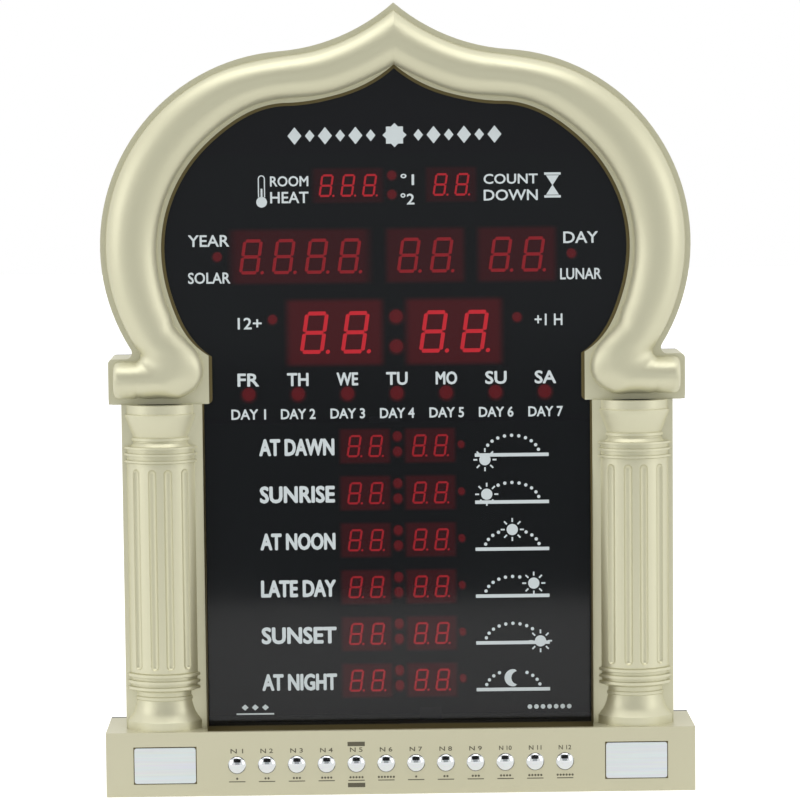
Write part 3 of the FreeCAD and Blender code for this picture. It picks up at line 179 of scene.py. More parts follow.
def moulded_group():
    """Paint or plastic: slow drift of colour, fine speckle, uneven gloss and a soft skin."""
    name = "Moulded Finish"
    if name in bpy.data.node_groups:
        return bpy.data.node_groups[name]
    group, given, made = node_group(name, [
        ("Color", "NodeSocketColor", (0.8, 0.8, 0.8, 1.0)),
        ("Shade", "NodeSocketColor", (0.5, 0.5, 0.5, 1.0)),
        ("Drift", "NodeSocketFloat", 0.3),
        ("Speckle", "NodeSocketFloat", 0.1),
        ("Speckle Scale", "NodeSocketFloat", 1500.0),
        ("Roughness", "NodeSocketFloat", 0.4),
    ], FINISH_OUTPUTS)
    new, link = group.nodes.new, group.links.new
    place = new("ShaderNodeTexCoord")
    cloud = new("ShaderNodeTexNoise")
    cloud.inputs["Scale"].default_value = 9.0
    cloud.inputs["Detail"].default_value = 4.0
    grain = new("ShaderNodeTexNoise")
    grain.inputs["Detail"].default_value = 1.0
    link(place.outputs["Object"], cloud.inputs["Vector"])
    link(place.outputs["Object"], grain.inputs["Vector"])
    link(given.outputs["Speckle Scale"], grain.inputs["Scale"])
    drift = worked_out(group, "MULTIPLY", cloud.outputs["Fac"], given.outputs["Drift"])
    speck = worked_out(group, "MULTIPLY_ADD", grain.outputs["Fac"], given.outputs["Speckle"], drift,
                       clamp=True)
    tint = new("ShaderNodeMix")
    tint.data_type = "RGBA"
    link(speck, tint.inputs["Factor"])
    link(given.outputs["Color"], tint.inputs["A"])
    link(given.outputs["Shade"], tint.inputs["B"])
    gloss = worked_out(group, "MULTIPLY_ADD", cloud.outputs["Fac"], 0.12, given.outputs["Roughness"])
    link(tint.outputs["Result"], made.inputs["Color"])
    link(gloss, made.inputs["Roughness"])
    link(grain.outputs["Fac"], made.inputs["Height"])
    return group


def brushed_group():
    """Drawn metal: long fine scratches along one way."""
    name = "Brushed Grain"
    if name in bpy.data.node_groups:
        return bpy.data.node_groups[name]
    group, given, made = node_group(name, [
        ("Color", "NodeSocketColor", (0.8, 0.8, 0.8, 1.0)),
        ("Roughness", "NodeSocketFloat", 0.3),
        ("Fineness", "NodeSocketFloat", 900.0),
    ], FINISH_OUTPUTS)
    new, link = group.nodes.new, group.links.new
    place = new("ShaderNodeTexCoord")
    stretch = new("ShaderNodeMapping")
    stretch.inputs["Scale"].default_value = (0.03, 1.0, 1.0)
    streak = new("ShaderNodeTexNoise")
    streak.inputs["Detail"].default_value = 3.0
    link(place.outputs["Object"], stretch.inputs["Vector"])
    link(stretch.outputs["Vector"], streak.inputs["Vector"])
    link(given.outputs["Fineness"], streak.inputs["Scale"])
    shade = new("ShaderNodeMix")
    shade.data_type = "RGBA"
    shade.blend_type = "MULTIPLY"
    shade.inputs["Factor"].default_value = 0.18
    link(given.outputs["Color"], shade.inputs["A"])
    link(streak.outputs["Color"], shade.inputs["B"])
    rough = worked_out(group, "MULTIPLY_ADD", streak.outputs["Fac"], 0.15, given.outputs["Roughness"])
    link(shade.outputs["Result"], made.inputs["Color"])
    link(rough, made.inputs["Roughness"])
    link(streak.outputs["Fac"], made.inputs["Height"])
    return group


def faded(tree, reach, full):
    """1 up to a reach from the middle, and 0 at the rim, half the map away."""
    fade = tree.nodes.new("ShaderNodeMapRange")
    fade.interpolation_type = "SMOOTHSTEP"
    fade.inputs["From Min"].default_value = 0.5
    fade.inputs["From Max"].default_value = full
    tree.links.new(reach, fade.inputs["Value"])
    return fade.outputs["Result"]


def glow_group():
    """Light behind a smoked window: full in the middle of a card's own map and gone at its rim."""
    name = "Glow Falloff"
    if name in bpy.data.node_groups:
        return bpy.data.node_groups[name]
    group, given, made = node_group(name, [
        ("Color", "NodeSocketColor", (1.0, 0.0, 0.0, 1.0)),
        ("Round", "NodeSocketFloat", 0.0),
        ("Power", "NodeSocketFloat", 1.0),
    ], [("Color", "NodeSocketColor"), ("Mask", "NodeSocketFloat")])
    new, link = group.nodes.new, group.links.new
    place = new("ShaderNodeTexCoord")
    split = new("ShaderNodeSeparateXYZ")
    link(place.outputs["UV"], split.inputs["Vector"])
    aways = [worked_out(group, "SUBTRACT", split.outputs[axis], 0.5) for axis in ("X", "Y")]
    reaches = [worked_out(group, "ABSOLUTE", away) for away in aways]
    square = worked_out(group, "MULTIPLY", *(faded(group, reach, 0.4) for reach in reaches))
    across = new("ShaderNodeCombineXYZ")
    link(aways[0], across.inputs["X"])
    link(aways[1], across.inputs["Y"])
    radius = new("ShaderNodeVectorMath")
    radius.operation = "LENGTH"
    link(across.outputs["Vector"], radius.inputs[0])
    disc = faded(group, radius.outputs["Value"], 0.1)
    form = new("ShaderNodeMix")
    link(given.outputs["Round"], form.inputs["Factor"])
    link(square, form.inputs["A"])
    link(disc, form.inputs["B"])
    power = worked_out(group, "MULTIPLY", form.outputs["Result"], given.outputs["Power"], clamp=True)
    link(given.outputs["Color"], made.inputs["Color"])
    link(power, made.inputs["Mask"])
    return group


def blank_material(name):
    """A new material with one Principled shader, and that shader."""
    material = bpy.data.materials.new(name)
    material.use_nodes = True
    return material, material.node_tree.nodes["Principled BSDF"]


def placed_group(material, group, **values):
    """A group's node in a material, with its values."""
    node = material.node_tree.nodes.new("ShaderNodeGroup")
    node.node_tree = group
    for label, value in values.items():
        node.inputs[label.replace("_", " ")].default_value = value
    return node


def bumped(material, shader, height, strength, distance):
    """Feeds a height into the shader's normal."""
    bump = material.node_tree.nodes.new("ShaderNodeBump")
    bump.inputs["Strength"].default_value = strength
    bump.inputs["Distance"].default_value = distance
    material.node_tree.links.new(height, bump.inputs["Height"])
    material.node_tree.links.new(bump.outputs["Normal"], shader.inputs["Normal"])


def made_once(make):
    """A material is made once and kept under its name."""
    def kept(name, *values, **named):
        return bpy.data.materials.get(name) or make(name, *values, **named)
    return kept


@made_once
def moulded(name, tone, shade, drift=0.3, speckle=0.1, scale=1500.0, rough=0.4, metallic=0.0,
            coat=0.0, bump=0.08):
    """Paint or moulded plastic."""
    material, shader = blank_material(name)
    finish = placed_group(material, moulded_group(), Color=tone, Shade=shade, Drift=drift,
                          Speckle=speckle, Speckle_Scale=scale, Roughness=rough)
    link = material.node_tree.links.new
    link(finish.outputs["Color"], shader.inputs["Base Color"])
    link(finish.outputs["Roughness"], shader.inputs["Roughness"])
    shader.inputs["Metallic"].default_value = metallic
    shader.inputs["Coat Weight"].default_value = coat
    shader.inputs["Coat Roughness"].default_value = 0.12
    bumped(material, shader, finish.outputs["Height"], bump, 0.0002)
    return material


@made_once
def brushed(name, tone, rough=0.25, fineness=900.0, bump=0.05):
    """Bare or plated metal."""
    material, shader = blank_material(name)
    grain = placed_group(material, brushed_group(), Color=tone, Roughness=rough, Fineness=fineness)
    link = material.node_tree.links.new
    link(grain.outputs["Color"], shader.inputs["Base Color"])
    link(grain.outputs["Roughness"], shader.inputs["Roughness"])
    shader.inputs["Metallic"].default_value = 1.0
    bumped(material, shader, grain.outputs["Height"], bump, 0.0001)
    return material


@made_once
def lit(name, tone, strength):
    """A lit red segment or lamp, with the slight unevenness of a light behind a diffuser."""
    material, shader = blank_material(name)
    glow = placed_group(material, moulded_group(), Color=tone,
                        Shade=toned(tone, 0.6, 0.5, 0.5), Drift=0.35,
                        Speckle=0.25, Speckle_Scale=700.0, Roughness=0.35)
    link = material.node_tree.links.new
    link(glow.outputs["Color"], shader.inputs["Emission Color"])
    link(glow.outputs["Roughness"], shader.inputs["Roughness"])
    shader.inputs["Base Color"].default_value = (0.06, 0.003, 0.004, 1.0)
    shader.inputs["Emission Strength"].default_value = strength
    return material


@made_once
def halo(name, tone, strength, opacity, round_form):
    """Soft red light round a display."""
    material, shader = blank_material(name)
    glow = placed_group(material, glow_group(), Color=tone, Round=round_form, Power=opacity)
    link = material.node_tree.links.new
    link(glow.outputs["Color"], shader.inputs["Emission Color"])
    link(glow.outputs["Mask"], shader.inputs["Alpha"])
    shader.inputs["Base Color"].default_value = (0.0, 0.0, 0.0, 1.0)
    shader.inputs["Specular IOR Level"].default_value = 0.0
    shader.inputs["Roughness"].default_value = 1.0
    shader.inputs["Emission Strength"].default_value = strength
    return material


def pearl_paint():
    tone = colours().pearl
    return moulded("pearl_paint", tone, toned(tone, 0.8, 0.8, 0.72), drift=0.25, speckle=0.2,
                   scale=2600.0, rough=0.34, metallic=0.45, coat=0.06, bump=0.05)


def base_paint():
    tone = colours().base
    return moulded("base_paint", tone, toned(tone, 0.82, 0.82, 0.74), drift=0.25, speckle=0.2,
                   scale=2600.0, rough=0.36, metallic=0.4, coat=0.06, bump=0.05)


def edging_and_shade_paint():
    """Dark bronze paint: the strips along the columns and the base, and painted shade on the lip round the
    window, in the button holes and in the plates' recesses.
    """
    tone = colours().edging_and_shade
    return moulded("edging_and_shade_paint", tone, toned(tone, 0.7, 0.7, 0.6), drift=0.3,
                   speckle=0.25, scale=2600.0, rough=0.35, metallic=0.5, bump=0.05)


@made_once
def window_acrylic(name):
    """Smoked acrylic, see-through enough for the lights behind it."""
    material, shader = blank_material(name)
    tone = colours().window
    finish = placed_group(material, moulded_group(), Color=tone,
                          Shade=toned(tone, 1.5, 1.5, 1.5), Drift=0.3,
                          Speckle=0.0, Speckle_Scale=400.0, Roughness=0.02)
    link = material.node_tree.links.new
    link(finish.outputs["Color"], shader.inputs["Base Color"])
    link(finish.outputs["Roughness"], shader.inputs["Roughness"])
    shader.inputs["Alpha"].default_value = 0.6
    return material


def ink(name, tone):
    return moulded(name, tone, toned(tone, 0.8, 0.8, 0.8), drift=0.15,
                   speckle=0.12, scale=1800.0, rough=0.5, bump=0.03)


def inner_materials():
    """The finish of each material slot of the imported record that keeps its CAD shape."""
    tone = colours()
    steel = srgb(196, 198, 200)
    return {
        "back_plastic": moulded("rear_plastic", tone.back, srgb(24, 24, 26), drift=0.4, speckle=0.4,
                                scale=2200.0, rough=0.5, bump=0.4),
        "circuit_board": moulded("board_lacquer", tone.board, srgb(8, 30, 16), drift=0.4,
                                 speckle=0.2, scale=600.0, rough=0.25, bump=0.1),
        "display_module": moulded("module_epoxy", srgb(26, 10, 11), srgb(12, 4, 5), drift=0.4,
                                  speckle=0.1, scale=900.0, rough=0.35),
        "red_lamp": lit("lamp_epoxy", tone.red, 0.45),
        "screw_steel": brushed("screw_steel", steel, rough=0.3, fineness=2500.0),
        "switch_black": moulded("switch_plastic", srgb(22, 22, 24), srgb(12, 12, 13), drift=0.3,
                                speckle=0.2, scale=1800.0, rough=0.4, bump=0.15),
        "cell_steel": brushed("cell_steel", srgb(206, 206, 202), rough=0.22, fineness=1500.0),
        "speaker_steel": brushed("speaker_steel", srgb(150, 150, 148), rough=0.4, fineness=1200.0),
        "speaker_paper": moulded("speaker_paper", srgb(30, 28, 26), srgb(16, 15, 14), drift=0.4,
                                 speckle=0.5, scale=1200.0, rough=0.85, bump=0.5),
        "cable_grey": moulded("cable_sleeve", srgb(140, 142, 146), srgb(100, 102, 106), drift=0.2,
                              speckle=0.1, scale=900.0, rough=0.5),
    }


# Mesh helpers

def finished(bm, name, material, body=CASE, node_names=(), smooth=True, second=None):
    """Turns a bmesh into a piece that rides on a body, with a second material for its faces painted in
    shade.
    """
    mesh = bpy.data.meshes.new(name)
    for face in bm.faces:
        face.smooth = smooth
    bm.to_mesh(mesh)
    bm.free()
    if "custom_normal" in mesh.attributes:
        mesh.attributes.remove(mesh.attributes["custom_normal"])
    piece = bpy.data.objects.new(name, mesh)
    bpy.context.scene.collection.objects.link(piece)
    mesh.materials.append(material)
    if second:
        mesh.materials.append(second)
    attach(piece, body)
    if node_names:
        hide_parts(*node_names)


def merged_copy(node_name, sharp_degrees):
    """A bmesh of a CAD node with its loose triangles merged and its real edges marked sharp."""
    bm = bmesh.new()
    bm.from_mesh(frame["nodes"][node_name].data)
    bmesh.ops.remove_doubles(bm, verts=bm.verts, dist=1e-6)
    mark_sharp(bm, sharp_degrees)
    return bm


def mark_sharp(bm, degrees):
    for edge in bm.edges:
        edge.smooth = edge.calc_face_angle(0.0) < math.radians(degrees)


def depth(value):
    """Front to back place of something that lies so many millimetres behind the base's front."""
    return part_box("base_housing")[0][1] + value * MM


def separate_boxes(node_name):
    """Side, level, width and height in millimetres of each separate piece of a CAD node."""
    bm = merged_copy(node_name, SHARP_MOULDED)
    left = set(bm.verts)
    boxes = []
    while left:
        first = left.pop()
        island, edge_of_island = [first], [first]
        while edge_of_island:
            vert = edge_of_island.pop()
            for edge in vert.link_edges:
                other = edge.other_vert(vert)
                if other in left:
                    left.remove(other)
                    island.append(other)
                    edge_of_island.append(other)
        sides = [vert.co.x / MM for vert in island]
        levels = [vert.co.z / MM for vert in island]
        boxes.append(((min(sides) + max(sides)) / 2, (min(levels) + max(levels)) / 2,
                      max(sides) - min(sides), max(levels) - min(levels)))
    bm.free()
    return sorted(boxes)


def row_levels():
    """The levels of the rows of times, from the top down."""
    return [separate_boxes("row_%d_digits" % row)[0][1] for row in range(1, 7)]


def upright(side, front, level):
    """Turns a flat drawing in X and Y to face the front, with its middle at a place in millimetres."""
    return Matrix.Translation((side * MM, front, level * MM)) @ Matrix.Rotation(math.radians(90), 4, "X")


def add_card(bm, side, level, width, height, front):
    """A flat card with its own map from 0 to 1."""
    bm.loops.layers.uv.verify()
    made = bmesh.ops.create_grid(bm, x_segments=1, y_segments=1, size=0.5, calc_uvs=True,
                                 matrix=upright(side, front, level)
                                 @ Matrix.Diagonal((width * MM, height * MM, 1.0, 1.0)))
    return made["verts"]


def thickened(bm, verts, thick):
    """Gives flat faces a thickness towards the front."""
    faces = list(dict.fromkeys(face for vert in verts for face in vert.link_faces))
    made = bmesh.ops.extrude_face_region(bm, geom=faces)
    moved = [item for item in made["geom"] if isinstance(item, bmesh.types.BMVert)]
    bmesh.ops.translate(bm, verts=moved, vec=(0.0, -thick, 0.0))


# Stage

# The table ends this far in front of the clock, in metres: its edge shows in the window.
TABLE_EDGE = -0.815
# Where the camera stands, in metres, and how it is turned, in degrees
CAMERA_PLACE = (-0.0278, -2.2180, 0.4527)
CAMERA_PITCH, CAMERA_YAW, CAMERA_ROLL = 5.255, 0.768, -0.567
# Each light's name, place, target, width and height in metres, and power in watts
LIGHTS = (
    ("key_above", (-0.1, -0.55, 1.75), (0.0, 0.0, 0.3), 2.0, 0.8, 10.5),
    ("fill_left", (-1.7, -1.0, 0.6), (0.0, 0.0, 0.25), 0.8, 1.2, 4.5),
    ("fill_right", (1.7, -1.0, 0.6), (0.0, 0.0, 0.25), 0.8, 1.2, 4.5),
)


class CLOCK_OT_stage(Operator):
    """Sets the camera, the lights and the pale floor"""
    bl_idname = "clock.stage"
    bl_label = "Stage and Camera"

    def execute(self, context):
        add_camera()
        add_floor()
        add_flags()
        for light in LIGHTS:
            area_light(*light)
        add_world()
        context.scene.view_settings.view_transform = "Standard"
        return {"FINISHED"}


def add_camera():
    """The photograph's camera: where it stands and how it is turned."""
    pitch, yaw, roll = (math.radians(turn) for turn in (CAMERA_PITCH, CAMERA_YAW, CAMERA_ROLL))
    ahead = Vector((math.sin(yaw) * math.cos(pitch), math.cos(yaw) * math.cos(pitch), -math.sin(pitch)))
    right = Vector((math.cos(yaw), -math.sin(yaw), 0.0))
    above = right.cross(ahead)
    across = right * math.cos(roll) + above * math.sin(roll)
    upward = above * math.cos(roll) - right * math.sin(roll)
    data = bpy.data.cameras.new("photo_camera")
    data.lens = sizes().lens
    data.sensor_width = 36.0
    camera = bpy.data.objects.new("photo_camera", data)
    turn = Matrix((across, upward, -ahead)).transposed().to_4x4()
    camera.matrix_world = Matrix.Translation(CAMERA_PLACE) @ turn
    bpy.context.scene.collection.objects.link(camera)
    bpy.context.scene.camera = camera


def stage_sheet(name, low, high, level, material):
    """A level sheet of the stage, between two corners."""
    bm = bmesh.new()
    bmesh.ops.create_grid(bm, x_segments=1, y_segments=1, size=0.5)
    wide, deep = high[0] - low[0], high[1] - low[1]
    middle = ((low[0] + high[0]) / 2, (low[1] + high[1]) / 2, level)
    bmesh.ops.transform(bm, verts=bm.verts,
                        matrix=Matrix.Translation(middle) @ Matrix.Diagonal((wide, deep, 1.0, 1.0)))
    mesh = bpy.data.meshes.new(name)
    bm.to_mesh(mesh)
    bm.free()
    sheet = bpy.data.objects.new(name, mesh)
    mesh.materials.append(material)
    bpy.context.scene.collection.objects.link(sheet)
    return sheet


def seen_directly(tree):
    """1 for what the camera, a reflection or a see-through piece shows, 0 for the light itself."""
    path = tree.nodes.new("ShaderNodeLightPath")
    total = path.outputs["Is Camera Ray"]
    for kind in ("Is Glossy Ray", "Is Transmission Ray"):
        total = worked_out(tree, "MAXIMUM", total, path.outputs[kind])
    return total


def add_floor():
    """The pale table top. Looked at, it is mostly plain white, and keeps a soft shadow."""
    material, shader = blank_material("table_top")
    tree = material.node_tree
    shader.inputs["Base Color"].default_value = (0.82, 0.82, 0.81, 1.0)
    shader.inputs["Roughness"].default_value = 0.9
    shader.inputs["Emission Color"].default_value = (1.0, 1.0, 1.0, 1.0)
    path = tree.nodes.new("ShaderNodeLightPath")
    mirrored, seen = path.outputs["Is Glossy Ray"], path.outputs["Is Camera Ray"]
    shown = worked_out(tree, "MULTIPLY_ADD", mirrored, 0.6, seen)
    tree.links.new(worked_out(tree, "MULTIPLY", shown, 0.6), shader.inputs["Emission Strength"])
    stage_sheet("table", (-4.0, TABLE_EDGE), (4.0, 6.0), 0.0, material)


def reflected_sheet(name, middle, tilt, width, height, tone):
    """An upright sheet of one brightness that shows only in reflections."""
    material, shader = blank_material(name)
    shader.inputs["Base Color"].default_value = (0.0, 0.0, 0.0, 1.0)
    shader.inputs["Roughness"].default_value = 1.0
    shader.inputs["Specular IOR Level"].default_value = 0.0
    shader.inputs["Emission Color"].default_value = (0.93, 0.97, 1.0, 1.0)
    shader.inputs["Emission Strength"].default_value = tone
    sheet = stage_sheet(name, (-width / 2, -height / 2), (width / 2, height / 2), 0.0, material)
    sheet.data.transform(Matrix.Translation(middle) @ Matrix.Rotation(math.radians(tilt), 4, "X"))
    for kind in ("camera", "diffuse", "transmission", "shadow"):
        setattr(sheet, "visible_" + kind, False)


def add_flags():
    """The dim side of the room behind the camera, seen only in reflections."""
    reflected_sheet("dim_floor", (0.0, TABLE_EDGE - 2.5, -0.001), 0.0, 8.0, 5.0, 0.3)
    reflected_sheet("dim_wall", (0.0, -3.4, 0.9), 90.0, 2.6, 2.0, 0.46)
    reflected_sheet("dark_card", (0.0, -2.3, 1.8), 60.0, 3.6, 1.9, 0.02)


def area_light(name, place, target, width, height, power):
    """A rectangular light that faces its target."""
    data = bpy.data.lights.new(name, "AREA")
    data.shape = "RECTANGLE"
    data.size = width
    data.size_y = height
    data.energy = power
    light = bpy.data.objects.new(name, data)
    light.location = place
    light.rotation_mode = "QUATERNION"
    light.rotation_quaternion = (Vector(target) - Vector(place)).to_track_quat("-Z", "Y")
    bpy.context.scene.collection.objects.link(light)


def add_world():
    """White where it is looked at, and a calmer grey as light."""
    world = bpy.data.worlds.new("studio")
    bpy.context.scene.world = world
    world.use_nodes = True
    tree = world.node_tree
    background = tree.nodes["Background"]
    background.inputs["Color"].default_value = (1.0, 1.0, 1.0, 1.0)
    level = tree.nodes.new("ShaderNodeMapRange")
    level.inputs["To Min"].default_value = 0.72
    level.inputs["To Max"].default_value = 1.0
    tree.links.new(seen_directly(tree), level.inputs["Value"])
    tree.links.new(level.outputs["Result"], background.inputs["Strength"])


# Frame, columns and base

class CLOCK_OT_arch(Operator):
    """Dresses the arched moulding in pearl paint, with painted shade on the lip round its opening"""
    bl_idname = "clock.arch"
    bl_label = "Arched Frame"

    def execute(self, context):
        bm = merged_copy("arch_frame", SHARP_MOULDED)
        front, back = (depth(value) for value in SHADED_LIP_DEPTHS)
        # The lip round the window's opening takes the dark paint as painted shade.
        paint_shade_on([face for face in bm.faces if front < face.calc_center_median().y < back])
        finished(bm, "arch_moulding", pearl_paint(), node_names=("arch_frame",),
                 second=edging_and_shade_paint())
        return {"FINISHED"}


def paint_shade_on(faces):
    """Marks faces for a piece's second material, the dark paint that stands in for shade."""
    for face in faces:
        face.material_index = 1


class CLOCK_OT_columns(Operator):
    """Dresses the two half columns in pearl paint"""
    bl_idname = "clock.columns"
    bl_label = "Columns"

    def execute(self, context):
        for side in ("left", "right"):
            bm = merged_copy(side + "_column", SHARP_MOULDED)
            finished(bm, side + "_half_column", pearl_paint(),
                     node_names=(side + "_column",))
        self.add_edging()
        return {"FINISHED"}

    def add_edging(self):
        """A thin dark strip on the window along each column, and one on the base below the window."""
        low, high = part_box("left_column")
        middle_level, tall = (low[2] + high[2]) / 2 / MM, (high[2] - low[2]) / MM
        bm = bmesh.new()
        width = sizes().edging_width / MM
        verts = []
        for inner in (high[0] / MM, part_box("right_column")[0][0] / MM):
            middle = inner - math.copysign(width / 2, inner)
            verts += add_bar(bm, middle, middle_level, width, tall, depth(EDGING_DEPTH))
        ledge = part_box("base_housing")[1][2] / MM + LEDGE_THICK / 2
        verts += add_bar(bm, 0.0, ledge, abs(2 * high[0]) / MM - 2 * width, LEDGE_THICK, depth(EDGING_DEPTH))
        thickened(bm, verts, EDGING_THICK * MM)
        front = depth(EDGING_DEPTH - EDGING_THICK / 2)
        ledge_front = [vert for vert in bm.verts if vert.co.z < (ledge + LEDGE_THICK) * MM
                       and vert.co.y < front and abs(vert.co.x) < abs(high[0]) - width * MM * 0.9]
        bmesh.ops.translate(bm, verts=ledge_front, vec=(0.0, -sizes().ledge_depth, 0.0))
        bmesh.ops.recalc_face_normals(bm, faces=bm.faces)
        finished(bm, "column_edging", edging_and_shade_paint(), smooth=False)


# Depths in millimetres behind the front of the base: its skin, the floor of the plates' recesses and
# the back of its wall. A button hole's wall lies within the reach of the button's middle.
SKIN_DEPTH = 0.02
RECESS_DEPTH = 0.85
WALL_DEPTH = 2.4
HOLE_REACH = 6.5


class CLOCK_OT_base(Operator):
    """Dresses the box base in pearl paint, with painted shade in the button holes and the plates' recesses
    """
    bl_idname = "clock.base"
    bl_label = "Base"

    def execute(self, context):
        bm = merged_copy("base_housing", SHARP_MOULDED)
        # The walls of the button holes and the plates' recesses are painted dark as shade.
        paint_shade_on(self.shaded_hole_walls(bm))
        finished(bm, "base_box", base_paint(), node_names=("base_housing",),
                 second=edging_and_shade_paint())
        return {"FINISHED"}

    def shaded_hole_walls(self, bm):
        """The faces inside the button holes and the plates' recesses, which take the dark paint as painted
        shade.
        """
        walls = []
        spots = button_spots()
        front, recess, behind = depth(SKIN_DEPTH), depth(RECESS_DEPTH), depth(WALL_DEPTH)
        plates = [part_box("left_plate"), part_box("right_plate")]
        for face in bm.faces:
            middle = face.calc_center_median()
            if front < middle.y < recess and any(
                    low.x - MM < middle.x < high.x + MM and low.z - MM < middle.z < high.z + MM
                    for low, high in plates):
                walls.append(face)
            elif front < middle.y < behind and abs(face.normal.y) < 0.2 and any(
                    math.hypot(middle.x - side * MM, middle.z - level * MM) < HOLE_REACH * MM
                    for side, level in spots):
                walls.append(face)
        return walls


def button_spots():
    """The middle of each button, in millimetres."""
    spots = []
    for number in range(1, BUTTON_COUNT + 1):
        low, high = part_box("button_%d" % number)
        spots.append(((low[0] + high[0]) / 2 / MM, (low[2] + high[2]) / 2 / MM))
    return spots


class CLOCK_OT_window(Operator):
    """Gives the window its smoked acrylic"""
    bl_idname = "clock.window"
    bl_label = "Window"

    def execute(self, context):
        dress("display_window", window_acrylic("smoked_acrylic"))
        return {"FINISHED"}


def dress(node_name, material):
    """A CAD node keeps its shape and takes a better material."""
    for slot in frame["nodes"][node_name].material_slots:
        slot.material = material


class CLOCK_OT_inner_parts(Operator):
    """Gives the rear cover and every inner part its finish"""
    bl_idname = "clock.inner_parts"
    bl_label = "Rear and Inner Parts"

    def execute(self, context):
        finishes = inner_materials()
        for part in frame["record"]["subparts"]:
            if part["material_slot"] in finishes:
                dress(part["node"], finishes[part["material_slot"]])
        return {"FINISHED"}


# Buttons and plates

class CLOCK_OT_buttons(Operator):
    """Makes the twelve chrome caps"""
    bl_idname = "clock.buttons"
    bl_label = "Buttons"

    def execute(self, context):
        chrome = brushed("button_chrome", colours().chrome, rough=0.03, fineness=2500.0, bump=0.01)
        for number in range(1, BUTTON_COUNT + 1):
            node_name = "button_%d" % number
            bm = merged_copy(node_name, SHARP_METAL)
            finished(bm, "cap_%d" % number, chrome, body=node_name, node_names=(node_name,))
        return {"FINISHED"}


class CLOCK_OT_plates(Operator):
    """Makes the two silver plates of the base"""
    bl_idname = "clock.plates"
    bl_label = "Silver Plates"

    def execute(self, context):
        silver = brushed("plate_silver", colours().silver, rough=0.28, fineness=700.0, bump=0.03)
        for side in ("left", "right"):
            bm = merged_copy(side + "_plate", SHARP_METAL)
            finished(bm, side + "_silver_plate", silver, node_names=(side + "_plate",))
        return {"FINISHED"}


# Red displays

# Shares of a stroke: how much of a bar's end its point takes, how much shorter a bar is than its
# side of the digit, and how far off and how large the decimal point is
POINT_SHARE = 0.62
BAR_GAP = 0.25
DOT_AWAY = 1.6
DOT_RADIUS = 0.55


def add_segment(bm, place, long, stroke):
    """One bar of a digit: a hexagon drawn out along its length, pointed at its two ends."""
    made = bmesh.ops.create_circle(bm, cap_ends=True, segments=6, radius=stroke / math.sqrt(3),
                                   matrix=Matrix.Rotation(math.radians(30), 4, "Z"))
    verts = made["verts"]
    for sign in (-1, 1):
        half = [vert for vert in verts if vert.co.x * sign > 0]
        bmesh.ops.translate(bm, verts=half, vec=(sign * (long / 2 - stroke * POINT_SHARE), 0.0, 0.0))
    bmesh.ops.transform(bm, verts=verts, matrix=place)
    return verts


def add_digit(bm, side, level, height, front):
    """Seven bars and a point, leaning a little, with their faces to the front."""
    stroke = height * sizes().segment_width
    across = height * sizes().digit_width - stroke
    half = (height - stroke) / 2
    lean = Matrix(((1.0, math.tan(sizes().digit_slant), 0.0, 0.0), (0.0, 1.0, 0.0, 0.0),
                   (0.0, 0.0, 1.0, 0.0), (0.0, 0.0, 0.0, 1.0)))
    stand = upright(side, front, level) @ Matrix.Diagonal((MM, MM, MM, 1.0)) @ lean
    quarter = Matrix.Rotation(math.radians(90), 4, "Z")
    verts = []
    for row in (-1, 0, 1):
        place = Matrix.Translation((0.0, row * half, 0.0))
        verts += add_segment(bm, stand @ place, across - stroke * BAR_GAP, stroke)
    for column in (-1, 1):
        for row in (-1, 1):
            place = Matrix.Translation((column * across / 2, row * half / 2, 0.0))
            verts += add_segment(bm, stand @ place @ quarter, half - stroke * BAR_GAP, stroke)
    dot = Matrix.Translation((across / 2 + stroke * DOT_AWAY, -half, 0.0))
    made = bmesh.ops.create_circle(bm, cap_ends=True, segments=16, radius=stroke * DOT_RADIUS,
                                   matrix=stand @ dot)
    return verts + made["verts"]


# Strength of the lit segments and of the light round them, for the groups that differ from the rest
SEGMENT_LIGHT = {"hour": 3.4, "minute": 3.4, "temperature": 2.6, "countdown": 2.6,
                 "year": 1.5, "month": 1.5, "day": 1.5}
HALO_LIGHT = {"hour": 0.33, "minute": 0.33, "temperature": 0.12, "countdown": 0.12}
SEGMENT_REST = 1.9
HALO_REST = 0.2
# A halo's share of a module's width and height, and how far it stands off the module in millimetres
HALO_WIDE = 1.7
HALO_TALL = 1.3
HALO_OFF = 0.02
# Modules whose middles are more than this many widths apart have halos of their own.
RUN_GAP = 1.5
# How far the round lights stand off the digit modules, in millimetres
LAMP_OFF = 0.12


class CLOCK_OT_digits(Operator):
    """Makes the red seven-segment digits and the light round them"""
    bl_idname = "clock.digits"
    bl_label = "Digits"

    def execute(self, context):
        for name in DIGIT_GROUPS:
            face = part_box(name + "_digits")[0][1]
            modules = separate_boxes(name + "_digits")
            self.add_segments(name, modules, face)
            self.add_halo(name, modules, face)
        return {"FINISHED"}

    def add_segments(self, name, modules, face):
        strength = SEGMENT_LIGHT.get(name, SEGMENT_REST)
        bm = bmesh.new()
        verts = []
        for side, level, width, height in modules:
            verts += add_digit(bm, side, level, height / MODULE_SHARE, face)
        thickened(bm, verts, sizes().segment_thick)
        bmesh.ops.recalc_face_normals(bm, faces=bm.faces)
        light = lit("segment_light_%d" % round(strength * 10), colours().red, strength)
        finished(bm, name + "_segments", light, smooth=False)

    def add_halo(self, name, modules, face):
        """A card just in front of the modules, behind the faces of the segments."""
        glow = HALO_LIGHT.get(name, HALO_REST)
        bm = bmesh.new()
        runs = [[modules[0]]]
        for module in modules[1:]:
            if module[0] - runs[-1][-1][0] > module[2] * RUN_GAP:
                runs.append([])
            runs[-1].append(module)
        for run in runs:
            first, last = run[0], run[-1]
            wide = last[0] - first[0] + first[2] * HALO_WIDE
            add_card(bm, (first[0] + last[0]) / 2, first[1], wide, first[3] * HALO_TALL,
                     face - HALO_OFF * MM)
        card = halo("digit_halo_%d" % round(glow * 10), colours().red, glow, 0.85, 0.0)
        finished(bm, name + "_halo", card, smooth=False)


